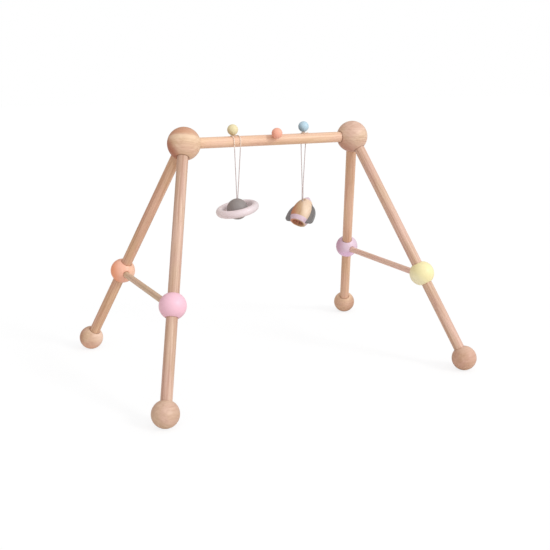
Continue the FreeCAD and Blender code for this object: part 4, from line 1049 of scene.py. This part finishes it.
def hoop(name, rotation, around=192, section=56):
    """A round ring whose section carries a faint relief."""
    phase = np.random.RandomState(5).uniform(0, TAU, 12)
    u = np.arange(around) / around * TAU
    rows, faces = [], []
    for j in range(section):
        v = j / section * TAU
        relief = (np.sin(3 * v + phase[0] + 0.6 * np.sin(u + phase[1])) * 0.4
                  + np.sin(7 * v + phase[2] + 0.9 * np.sin(2 * u + phase[3])) * 0.35
                  + np.sin(13 * v + phase[4] + 0.7 * np.sin(u * 3 + phase[5])) * 0.25)
        radius = RING_R - THIN_SKIN + 0.035 * MM * relief
        reach = RING_MID + radius * math.cos(v)
        rows.append(np.stack([np.cos(u) * reach, np.sin(u) * reach, radius * math.sin(v)], 1))
        k = (j + 1) % section
        for i in range(around):
            n = (i + 1) % around
            faces.append((j * around + i, j * around + n, k * around + n, k * around + i))
    verts = np.concatenate(rows) @ np.array(rotation).T + np.array(PLANET)
    return new_mesh(name, verts, faces)


def build_ring():
    tilt = turned(RING_YAW, RING_TILT)
    ob = hoop("ring_painted", tilt)
    pin_r, pin_start, pin_end = 1.56 * MM, 20 * MM, 31.3 * MM
    pin = [(0.0, pin_start), (pin_r, pin_start), (pin_r, pin_end), (0.0, pin_end)]
    carve(ob, [lathe(f"cut_ringpin_{k}", pin, 36, PLANET, frame_of(PIN_LINE * k))
               for k in (-1, 1)])
    # the grain runs round the ring
    local = local_coords(ob, PLANET, tilt)
    turn = np.arctan2(local[:, 1], local[:, 0])
    radius = np.hypot(local[:, 0], local[:, 1])
    set_attribute(ob, "gco", np.stack([(radius - RING_MID) * 1000 + 4 * np.cos(turn),
                                       local[:, 2] * 1000 + 4 * np.sin(turn),
                                       np.abs(turn) * RING_MID * 1000], 1))
    set_edges(ob, [(PLANET, PIN_LINE * k, 1.8 * MM, 22 * MM) for k in (1, -1)], width=0.4 * MM)
    finish(ob, "paint_blush", "saturn_ring", body="saturn_ring")


build_planet()
build_ring()


# ------------------------------------------------------------------ rocket (lengths in mm)

TIP_Z = ROCKET_LENGTH - TIP_R
UPPER_ARC = (BELLY_R ** 2 + (TIP_Z - BELLY_Z) ** 2 - TIP_R ** 2) / (2 * (BELLY_R - TIP_R))
LOWER_ARC = ((BELLY_R - BASE_R) ** 2 + BELLY_Z ** 2) / (2 * (BELLY_R - BASE_R))


def rocket_radius(z):
    if z < BELLY_Z:
        return BELLY_R - LOWER_ARC + math.sqrt(LOWER_ARC ** 2 - (z - BELLY_Z) ** 2)
    arc_centre = BELLY_R - UPPER_ARC
    rise = TIP_Z - BELLY_Z
    if z < BELLY_Z + rise / math.hypot(-arc_centre, rise) * UPPER_ARC:
        return arc_centre + math.sqrt(UPPER_ARC ** 2 - (z - BELLY_Z) ** 2)
    return math.sqrt(max(0.0, TIP_R ** 2 - (z - TIP_Z) ** 2))


CORD_HOLE = Vector(JOINT["rocket_spin"]["pos_m"])
HOLE_MOUTH = Vector((-rocket_radius(CORD_HOLE_Z), 0, CORD_HOLE_Z))
HOLE_INNER = Vector((-4.0, 0, 9.0))
HOLE_WAY = (HOLE_MOUTH - HOLE_INNER).normalized()
ROCKET = CORD_HOLE - ROCKET_TURN @ (HOLE_MOUTH * MM)
FINS = {"near": -90.0, "far": 90.0}       # turn round the rocket's axis, degrees
SLOT_HALF = 2.08
HOLLOW_R, HOLLOW_TOP = 11.7, 10.0


def in_rocket(point, rotation=ROCKET_TURN):
    return ROCKET + rotation @ (Vector(point) * MM)


def fin_turn(degrees):
    return ROCKET_TURN @ Matrix.Rotation(math.radians(degrees), 3, "Z")


def paint_step(z):
    """The coat of paint stands a hair proud of the wood."""
    def ramp(start, end):
        return min(1.0, max(0.0, (z - start) / (end - start)))
    return 0.05 * (ramp(0.35, 0.6) * (1 - ramp(9.2, 9.4)) + ramp(51.2, 51.4)) - 0.05


def rocket_profile():
    """The hollow from its top down, the rounded base rim, then the outside up to the tip."""
    points = [(0.0, HOLLOW_TOP), (4.0, HOLLOW_TOP), (8.0, HOLLOW_TOP), (11.1, HOLLOW_TOP),
              (11.5, 9.85), (HOLLOW_R, 9.5)]
    points += [(HOLLOW_R, z) for z in (8.5, 7.5, 6.5, 5.5, 4.5, 3.5, 2.5, 1.6)]
    points += [(HOLLOW_R + 1.0 - math.cos(t), 1.0 - math.sin(t))
               for t in np.linspace(0, math.pi / 2, 8)]
    points += [(13.3, 0.0), (14.0, 0.0), (14.5, 0.0)]
    points += [(14.5 + 1.15 * math.sin(t), 0.8 - 0.8 * math.cos(t))
               for t in np.linspace(0.15, math.pi / 2 - 0.1, 6)]
    heights = np.concatenate([
        np.linspace(1.0, 8.9, 10), [9.2, 9.3, 9.4], np.linspace(9.8, 50.9, 46),
        [51.2, 51.3, 51.4], np.linspace(51.8, 57.4, 12),
        TIP_Z + TIP_R * np.cos(np.linspace(0.80, 0.12, 12))])
    points += [(max(0.02, rocket_radius(z) + (paint_step(z) if z < 57.3 else 0.0)), z)
               for z in sorted(set(round(height, 3) for height in heights))]
    points.append((0.0, ROCKET_LENGTH))
    return [(radius * MM, z * MM) for radius, z in points]


def box(name, lo, hi, rotation):
    corners = [Vector((x, y, z)) for x in (lo[0], hi[0]) for y in (lo[1], hi[1])
               for z in (lo[2], hi[2])]
    faces = [(0, 1, 3, 2), (4, 6, 7, 5), (0, 4, 5, 1), (2, 3, 7, 6), (0, 2, 6, 4), (1, 5, 7, 3)]
    return new_mesh(name, [in_rocket(corner, rotation) for corner in corners], faces)


def rocket_wear(local):
    """Wear along the fin slots, the rim of the hollow and the mouth of the cord hole."""
    x, y, z = local.T
    wear = np.zeros(len(local))
    for degrees in FINS.values():
        turn = math.radians(degrees)
        outward = x * math.cos(turn) + y * math.sin(turn)
        sideways = -x * math.sin(turn) + y * math.cos(turn)
        near = (outward > 12.8) & (np.abs(np.abs(sideways) - SLOT_HALF) < 0.35)
        near &= (z > 1.5) & (z < 43.8)
        wear = np.maximum(wear, near.astype(float) * 0.7)
    rim = np.exp(-((np.hypot(x, y) - 12.3) / 0.4) ** 2) * (np.abs(z - 0.3) < 0.5) * 0.35
    wear = np.maximum(wear, rim)
    way = np.array(HOLE_WAY)
    offset = local - np.array(HOLE_MOUTH)
    aside = np.linalg.norm(offset - np.outer(offset @ way, way), axis=1)
    return np.maximum(wear, np.exp(-((aside - 2.2) / 0.5) ** 2) * (z > 30))


def build_rocket():
    shape = ripple(111, 0.05 * MM, stretch=30.0)

    def relief(angles, z, radius):
        """Only the outside is rippled; the rim and the hollow stay plain."""
        if (z > 0.9 * MM and radius > 12.0 * MM) or z > 12 * MM:
            return (shape(angles, z, radius) - 0.02 * MM) * min(1.0, radius / (7 * MM))
        return 0.0 * angles

    ob = lathe("rocket_turned", rocket_profile(), 144, ROCKET, ROCKET_TURN, relief)
    cutters = [box(f"cut_slot_{tag}", (13.4, -SLOT_HALF, 1.8), (35, SLOT_HALF, 43.6),
                   fin_turn(degrees)) for tag, degrees in FINS.items()]
    depth = (HOLE_MOUTH - HOLE_INNER).length * MM
    cutters.append(drill("cut_channel", in_rocket(HOLE_INNER), ROCKET_TURN @ HOLE_WAY,
                         bore=2.0 * MM, floor=0.0, mouth=depth - 0.2 * MM, fillet=0.6 * MM,
                         segments=40))
    carve(ob, cutters)
    local = local_coords(ob, ROCKET, ROCKET_TURN) * 1000
    set_attribute(ob, "gco", local)
    set_attribute(ob, "edge", rocket_wear(local))
    finish(ob, "rocket_wood", "rocket_body", body="rocket", angle=32)


FIN_IN, FIN_OUT, FIN_LOW, FIN_HIGH = 13.6, 31.5, 2.0, 43.0
FIN_CORNER_R, FIN_UPRIGHT = 6.5, 12.0
FIN_HALF, FIN_EASE = 2.0, 0.85            # half thickness, rounding of the long edges


def fin_outline():
    """Points (outward, z): low edge, lower outer corner, bowed outer edge, inner edge."""
    bow_z = FIN_LOW + FIN_UPRIGHT
    run, rise = FIN_IN + 0.6 - FIN_OUT, FIN_HIGH - bow_z
    bow = (run * run + rise * rise) / (-2 * run)
    bow_x = FIN_OUT - bow
    bow_end = math.atan2(rise, FIN_IN + 0.6 - bow_x)
    corner_x, corner_z = FIN_OUT - FIN_CORNER_R, FIN_LOW + FIN_CORNER_R
    points = [(FIN_IN + (corner_x - FIN_IN) * i / 10, FIN_LOW) for i in range(10)]
    points += [(corner_x + FIN_CORNER_R * math.cos(t), corner_z + FIN_CORNER_R * math.sin(t))
               for t in np.linspace(-math.pi / 2, 0, 16)]
    points += [(FIN_OUT, corner_z + (FIN_UPRIGHT - FIN_CORNER_R) * i / 5) for i in range(1, 5)]
    points += [(bow_x + bow * math.cos(t), bow_z + bow * math.sin(t))
               for t in np.linspace(0, bow_end, 34)]
    points += [(FIN_IN, FIN_HIGH - (FIN_HIGH - FIN_LOW) * i / 26) for i in range(26)]
    return np.array(points)


def fin_mesh(name, rotation):
    """A flat board with a bowed outer edge and rounded long edges."""
    outline = fin_outline()
    along = np.roll(outline, -1, 0) - np.roll(outline, 1, 0)
    along /= np.linalg.norm(along, axis=1)[:, None]
    inward = np.stack([-along[:, 1], along[:, 0]], 1)
    # rings across the thickness: (inset, place across)
    half = [(FIN_EASE * 3.2, -FIN_HALF), (FIN_EASE * 1.9, -FIN_HALF)]
    for i in range(7):
        turn = math.pi / 2 * i / 6
        half.append((FIN_EASE * (1 - math.sin(turn)),
                     -FIN_HALF + FIN_EASE * (1 - math.cos(turn))))
    rings = half + [(0.0, y) for y in (-0.6, 0.0, 0.6)] + [(a, -y) for a, y in reversed(half)]
    verts, faces = [], []
    count = len(outline)
    for inset, y in rings:
        ring = outline + inward * inset
        ring[:, 0] = np.maximum(ring[:, 0], FIN_IN)
        verts += [in_rocket((x, y, z), rotation) for x, z in ring]
    for j in range(len(rings) - 1):
        for i in range(count):
            k = (i + 1) % count
            faces.append((j * count + i, j * count + k, (j + 1) * count + k,
                          (j + 1) * count + i))
    faces.append(tuple(range(count)))
    faces.append(tuple((len(rings) - 1) * count + i for i in reversed(range(count))))
    ob = new_mesh(name, verts, faces)
    bm = bmesh.new()
    bm.from_mesh(ob.data)
    bmesh.ops.remove_doubles(bm, verts=bm.verts, dist=1e-6)
    bmesh.ops.triangulate(bm, faces=[face for face in bm.faces if len(face.verts) > 6])
    bmesh.ops.recalc_face_normals(bm, faces=bm.faces)
    bm.to_mesh(ob.data)
    bm.free()
    return ob


def build_fin(tag, degrees):
    rotation = fin_turn(degrees)
    ob = fin_mesh(f"fin_{tag}_painted", rotation)
    local = local_coords(ob, ROCKET, rotation) * 1000
    set_attribute(ob, "gco", local + np.array([degrees, 7.0, 3.0]))
    across = np.abs(local[:, 1])
    edge = np.clip((across - 1.2) / 0.6, 0, 1) * np.clip((FIN_HALF - across) / 0.25, 0, 1)
    set_attribute(ob, "edge", edge * 0.8)
    finish(ob, "paint_fin_grey", f"rocket_fin_{tag}", body="rocket", angle=40)


build_rocket()
for tag, degrees in FINS.items():
    build_fin(tag, degrees)


# ------------------------------------------------------------------ cords

CORD_R = 0.9 * MM
LIE = 11.0 * MM               # bar axis to cord axis
PAIR = CORD_R + 0.04 * MM     # half the distance between two strands side by side
TAIL_PAIR = PAIR - 0.06 * MM  # the same inside a hole
PLIES, PLY_R, HELIX_R, PITCH = 3, 0.470 * MM, 0.430 * MM, 5.2 * MM
Z_SPLIT = 0.374               # where the upper and lower pieces of a cord meet


def catmull(points, steps):
    points = [np.array(point, float) for point in points]
    points = ([points[0] * 2 - points[1]] + points + [points[-1] * 2 - points[-2]])
    out = []
    for p0, p1, p2, p3 in zip(points, points[1:], points[2:], points[3:]):
        for k in range(steps):
            t = k / steps
            out.append((2 * p1 + (p2 - p0) * t + (2 * p0 - 5 * p1 + 4 * p2 - p3) * t ** 2
                        + (3 * p1 - p0 - 3 * p2 + p3) * t ** 3) * 0.5)
    out.append(points[-2])
    return out


def resample(path, step):
    """Even steps along a polyline; returns points and arc lengths."""
    points = np.array(path, float)
    lengths = np.linalg.norm(np.diff(points, axis=0), axis=1)
    reached = np.concatenate([[0], np.cumsum(lengths)])
    count = max(2, int(round(reached[-1] / step)))
    even = np.linspace(0, reached[-1], count + 1)
    return np.stack([np.interp(even, reached, points[:, k]) for k in range(3)], 1), even


def unit_rows(rows):
    return rows / np.linalg.norm(rows, axis=1)[:, None]


def twisted(name, path, first_side=(0, 1, 0), offset=0.0, step=0.34 * MM, sides=9):
    """Three plies laid round a path; offset shifts the twist along it."""
    centre, reached = resample(path, step)
    count = len(centre)
    tangent = unit_rows(np.gradient(centre, axis=0))
    side = np.zeros_like(centre)
    previous = np.array(first_side, float)
    for i in range(count):
        across = previous - tangent[i] * (previous @ tangent[i])
        side[i] = across / np.linalg.norm(across)
        previous = side[i]
    other_side = np.cross(tangent, side)
    verts, faces, grain, crevice_shade = [], [], [], []
    angles = np.arange(sides) / sides * TAU
    for ply in range(PLIES):
        turn = (reached + offset) / PITCH * TAU + ply * TAU / PLIES
        helix = centre + (np.cos(turn)[:, None] * side
                          + np.sin(turn)[:, None] * other_side) * HELIX_R
        # each ply's own frame, following its helix
        along = unit_rows(np.gradient(helix, axis=0))
        outward = helix - centre
        outward -= along * np.sum(outward * along, 1)[:, None]
        outward = unit_rows(outward)
        sideways = np.cross(along, outward)
        ring = helix[:, None, :] + PLY_R * (
            np.cos(angles)[None, :, None] * outward[:, None, :]
            + np.sin(angles)[None, :, None] * sideways[:, None, :])
        verts.append(ring.reshape(-1, 3))
        place = np.zeros((count, sides, 3))
        place[:, :, 0] = angles[None, :]
        place[:, :, 1] = (reached + offset)[:, None] * 1000
        place[:, :, 2] = ply * 7.3
        grain.append(place.reshape(-1, 3))
        # edge marks the inner side of each ply, where painted shade goes in the grooves
        crevice_shade.append(np.tile(np.clip(0.25 - np.cos(angles), 0, 1), count))
        base = ply * count * sides
        for i in range(count - 1):
            row = base + i * sides
            for j in range(sides):
                k = (j + 1) % sides
                faces.append((row + j, row + k, row + sides + k, row + sides + j))
        faces.append(tuple(base + j for j in range(sides)))
        faces.append(tuple(base + (count - 1) * sides + j for j in reversed(range(sides))))
    ob = new_mesh(name, np.concatenate(verts), faces)
    set_attribute(ob, "gco", np.concatenate(grain))
    set_attribute(ob, "edge", np.concatenate(crevice_shade))
    return ob


def join(name, obs):
    """One object from several, keeping attributes."""
    bpy.ops.object.select_all(action="DESELECT")
    for ob in obs:
        ob.select_set(True)
    bpy.context.view_layer.objects.active = obs[0]
    bpy.ops.object.join()
    obs[0].name = name
    obs[0].data.name = name
    return obs[0]


def finish_cord(ob, bodies, *nodes, start=None, end=None):
    """A cord piece rides one body; one that spans two bodies is baked in place and rides neither.
    """
    ob.data.materials.clear()
    ob.data.materials.append(MATERIAL["cord"])
    if len(bodies) == 2:
        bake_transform(ob)
    else:
        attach(ob, *bodies)
    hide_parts(*nodes)


def neck_path(neck, left, right, y):
    """Over the bar, up one strand, round the knob's neck and down the other."""
    def on_bar(x, arc_length):
        angle = arc_length / LIE
        return (x, y * math.sin(angle), BAR_Z + LIE * math.cos(angle))

    end = math.radians(38.0) * LIE
    quarter = math.pi / 2 * LIE
    # x, length round the bar from its top toward the strands
    stations = [
        (left, end), (left - 0.5 * MM, 5.2 * MM), (neck - 3.2 * MM, 2.4 * MM),
        (neck - 3.6 * MM, 0.0), (neck - 2.5 * MM, -2.6 * MM), (neck, -3.7 * MM),
        (neck + 2.8 * MM, -2.9 * MM), (neck + 5.6 * MM, -2.2 * MM), (neck + 8.8 * MM, -0.8 * MM),
        (right - 0.5 * MM, 2.4 * MM), (right, 5.0 * MM), (right, end)]
    loop = [on_bar(x, length) for x, length, _ in catmull([(*s, 0) for s in stations], 10)]
    down = [end + (quarter - end) * i / 14 for i in range(1, 15)]
    return ([on_bar(left, length) for length in reversed(down)] + loop
            + [on_bar(right, length) for length in down])


def strand(x_top, x_low, z_low, y, z_start, z_end):
    """Part of a straight strand that runs from the bar's height to z_low."""
    heights = [z_start + (z_end - z_start) * i / 24 for i in range(25)]
    return [(x_top + (x_low - x_top) * (BAR_Z - z) / (BAR_Z - z_low), y, z) for z in heights]


def trefoil(centre, size, axis, hint):
    """A tight trefoil knot."""
    rotation = np.array(frame_of(axis, hint))
    points = []
    for i in range(65):
        t = -0.30 + TAU * i / 64
        point = np.array([math.sin(t) + 2 * math.sin(2 * t), math.cos(t) - 2 * math.cos(2 * t),
                          -1.25 * math.sin(3 * t)]) * size
        points.append(tuple(np.array(centre) + rotation @ point))
    return points


def build_upper_cord(toy, knob, tops, x_low, z_low, y):
    """The loop on the bar with both strands down to the split."""
    left, right = tops
    path = (strand(left, x_low - PAIR, z_low, y, Z_SPLIT, BAR_Z)[:-1]
            + neck_path(knob.at.x, left, right, y)
            + strand(right, x_low + PAIR, z_low, y, BAR_Z, Z_SPLIT)[1:])
    finish_cord(twisted(f"{toy}_cord_upper", path), ("frame", f"{toy}_cord"),
                f"{toy}_cord_loop", f"{toy}_cord_on_bar",
                start=(x_low, 0, BAR_Z + LIE), end=(x_low, y, BAR_Z))


def build_planet_cord():
    top = PLANET + Vector((0, 0, PLANET_R))
    z_low = top.z + 0.5 * MM
    z_hole = top.z - 0.4 * MM
    knob = KNOB["yellow"]
    tops = (knob.at.x - 1.9 * MM, knob.at.x + 11.0 * MM)
    build_upper_cord("saturn", knob, tops, PLANET.x, z_low, -LIE)

    strands = []
    for x_top, k, offset in ((tops[0], -1, 3 * MM), (tops[1], 1, 0.0)):
        x_low = PLANET.x + k * PAIR
        path = strand(x_top, x_low, z_low, -LIE, Z_SPLIT, z_low) + [(x_low, -LIE, z_hole)]
        strands.append(twisted("strand", path, offset=offset))
    finish_cord(join("saturn_cord_lower", strands), ("saturn_cord", "saturn_planet"),
                "saturn_cord_strands", start=(PLANET.x, -LIE, Z_SPLIT - 8 * MM),
                end=(PLANET.x, -LIE, top.z + 1.0 * MM))

    knot = PLANET - Vector((0, 0, PLANET_R - 5.6 * MM))
    tails = []
    for k in (-1, 1):
        x = PLANET.x + k * TAIL_PAIR
        tails.append(twisted("tail", [(x, PLANET.y, z_hole), (x, PLANET.y, knot.z + 2.6 * MM)]))
    tails.append(twisted("knot", trefoil(knot, 0.98 * MM, (0, 0, -1), (1, 0, 0)),
                         first_side=(0, 0, 1)))
    finish_cord(join("saturn_cord_knot_tied", tails), ("saturn_planet",), "saturn_cord_knot")


def build_rocket_cord():
    sway = Vector(JOINT["rocket_sway"]["pos_m"])
    z_low = sway.z + 0.4 * MM
    z_middle = 0.3265             # where the middle and lower pieces meet
    twist = math.radians(-61.5)   # turn of the pair over the lower piece
    knob = KNOB["blue"]
    tops = (knob.at.x + 0.6 * MM, knob.at.x + 11.4 * MM)
    build_upper_cord("rocket", knob, tops, sway.x, z_low, LIE)

    strands = []
    for x_top, k, offset in ((tops[0], -1, 2 * MM), (tops[1], 1, 0.0)):
        x_low = sway.x + k * PAIR
        path = strand(x_top, x_low, z_low, LIE, Z_SPLIT, z_low)
        path += [(x_low, LIE, sway.z + (z_middle - sway.z) * i / 8) for i in range(1, 9)]
        strands.append(twisted("strand", path, offset=offset))
    finish_cord(join("rocket_cord_middle", strands), ("rocket_cord", "rocket_line"),
                "rocket_cord_strands", start=(sway.x, LIE, sway.z + 3.2 * MM),
                end=(sway.x, LIE, sway.z - 3.2 * MM))

    end = CORD_HOLE + Vector((0, 0, 2.2 * MM))
    strands = []
    for k in (-1, 1):
        path = []
        for i in range(25):
            t = i / 24
            turn = t * t * (3 - 2 * t) * twist
            path.append((sway.x + k * PAIR * math.cos(turn), LIE + k * PAIR * math.sin(turn),
                         z_middle + (end.z - z_middle) * t))
        strands.append(twisted("strand", path))
    finish_cord(join("rocket_cord_lower", strands), ("rocket_line", "rocket"),
                "rocket_cord_line", start=(sway.x, LIE, z_middle - 0.5 * MM),
                end=(sway.x, LIE, end.z + 0.8 * MM))

    way = ROCKET_TURN @ HOLE_WAY
    mouth = in_rocket(HOLE_MOUTH)
    tails = []
    for k in (-1, 1):
        above = Vector((math.cos(twist), math.sin(twist), 0)) * (k * PAIR)
        inside = ROCKET_TURN @ Vector((0, 1, 0)) * (-k * TAIL_PAIR)
        stations = [end + above, CORD_HOLE + Vector((0, 0, 0.7 * MM)) + above * 0.98]
        stations += [mouth - way * depth * MM + inside for depth in (1.4, 5, 14)]
        stations.append(in_rocket(HOLE_INNER) + inside)
        tails.append(twisted("tail", catmull([tuple(station) for station in stations], 12)))
    knot = in_rocket(HOLE_INNER - Vector((0, 0, 2.6)))
    path = trefoil(knot, 0.92 * MM, ROCKET_TURN @ Vector((0, 0, -1)),
                   ROCKET_TURN @ Vector((1, 0, 0)))
    tails.append(twisted("knot", path, first_side=(0, 0, 1)))
    finish_cord(join("rocket_cord_knot_tied", tails), ("rocket",), "rocket_cord_knot")


build_planet_cord()
build_rocket_cord()


# ------------------------------------------------------------------ CAD pieces kept as they are

for name, material in (
        ("hub_threaded_inserts", "insert_brass"), ("leg_hanger_bolts", "bolt_steel"),
        ("bar_hanger_bolts", "bolt_steel"), ("saturn_ring_pins", "bolt_steel"),
        ("knob_pin_yellow", "bare_wood_pin"), ("knob_pin_coral", "bare_wood_pin"),
        ("knob_pin_blue", "bare_wood_pin")):
    mesh = frame["nodes"][name].data
    mesh.materials.clear()
    mesh.materials.append(MATERIAL[material])
    mesh.polygons.foreach_set("material_index", [0] * len(mesh.polygons))


# ------------------------------------------------------------------ camera, floor, light

CAMERA_PLACE = Vector((-0.7343, -1.4572, 0.5814))
YAW, PITCH_DOWN, ROLL = math.radians(26.97), math.radians(14.14), math.radians(0.17)
AHEAD = Vector((math.sin(YAW) * math.cos(PITCH_DOWN), math.cos(YAW) * math.cos(PITCH_DOWN),
                -math.sin(PITCH_DOWN)))
RIGHT = Vector((math.cos(YAW), -math.sin(YAW), 0))
UP = RIGHT.cross(AHEAD)


def build_camera():
    data = bpy.data.cameras.new("camera")
    data.lens = 56.86
    data.sensor_width = 36.0
    data.sensor_fit = "HORIZONTAL"
    data.clip_start, data.clip_end = 0.02, 60
    camera = bpy.data.objects.new("camera", data)
    scene.collection.objects.link(camera)
    rolled_right = RIGHT * math.cos(ROLL) + UP * math.sin(ROLL)
    rolled_up = UP * math.cos(ROLL) - RIGHT * math.sin(ROLL)
    matrix = Matrix((rolled_right, rolled_up, -AHEAD)).transposed().to_4x4()
    matrix.translation = CAMERA_PLACE
    camera.matrix_world = matrix
    scene.camera = camera


def build_floor():
    """The camera sees a pale glowing floor; other rays meet a plain diffuse one."""
    mesh = bpy.data.meshes.new("floor")
    mesh.from_pydata([(-9, -9, 0), (9, -9, 0), (9, 9, 0), (-9, 9, 0)], [], [(0, 1, 2, 3)])
    floor = bpy.data.objects.new("floor", mesh)
    scene.collection.objects.link(floor)
    floor.location.z = -0.0002
    net = MaterialNet("floor_pale", (0.9, 0.9, 0.9, 1))
    cloud = net.noise(net.object_mm(), scale=0.004, detail=3.0)
    net.shade(Base_Color=net.mix(cloud, (0.216, 0.216, 0.216, 1), (0.224, 0.224, 0.224, 1)),
              Roughness=0.9, Specular_IOR_Level=0.0,
              Emission_Color=(0.803, 0.811, 0.817, 1), Emission_Strength=1.0)
    bounce = net.node("BsdfDiffuse", {0: (0.80, 0.765, 0.74, 1)})
    seen = net.node("LightPath").outputs["Is Camera Ray"]
    both = net.node("MixShader", {0: seen, 1: bounce.outputs[0], 2: net.shader.outputs[0]})
    net.put(net.output.inputs["Surface"], both.outputs[0])
    mesh.materials.append(net.material)


def build_world():
    """White to the camera; as light, brighter and cooler toward the upper right."""
    world = bpy.data.worlds.new("studio")
    scene.world = world
    world.use_nodes = True
    net = Net(world.node_tree)
    bright_side = (RIGHT * 0.63 + UP * 0.345 - AHEAD * 0.69).normalized()
    generated = net.node("TexCoord").outputs["Generated"]
    facing = net.vector_math("DOT_PRODUCT", generated, tuple(bright_side))
    strength = net.span(facing, between=(-1.0, 1.0), to=(0.19, 1.09))
    color = net.mix(net.span(facing, between=(-1.0, 0.6)), (1.0, 0.77, 0.67, 1),
                    (1.0, 0.99, 0.98, 1))
    light = net.node("Background", {0: color, 1: strength})
    backdrop = net.node("Background", {0: (1, 1, 1, 1), 1: 1.0})
    seen = net.node("LightPath").outputs["Is Camera Ray"]
    both = net.node("MixShader", {0: seen, 1: light.outputs[0], 2: backdrop.outputs[0]})
    net.node("OutputWorld", {0: both.outputs[0]})


def build_key_light():
    """A soft sun from the right, above and the camera's side."""
    key = bpy.data.lights.new("key", "SUN")
    key.energy = 0.94
    key.angle = math.radians(14)
    key.color = (1.0, 0.985, 0.965)
    ob = bpy.data.objects.new("key", key)
    scene.collection.objects.link(ob)
    direction = (RIGHT * 0.72 + UP * 0.42 - AHEAD * 0.55).normalized()
    ob.location = direction * 3
    ob.rotation_euler = (-direction).to_track_quat("-Z", "Y").to_euler()


build_camera()
build_floor()
build_world()
build_key_light()
scene.view_settings.view_transform = "Standard"
scene.view_settings.look = "None"
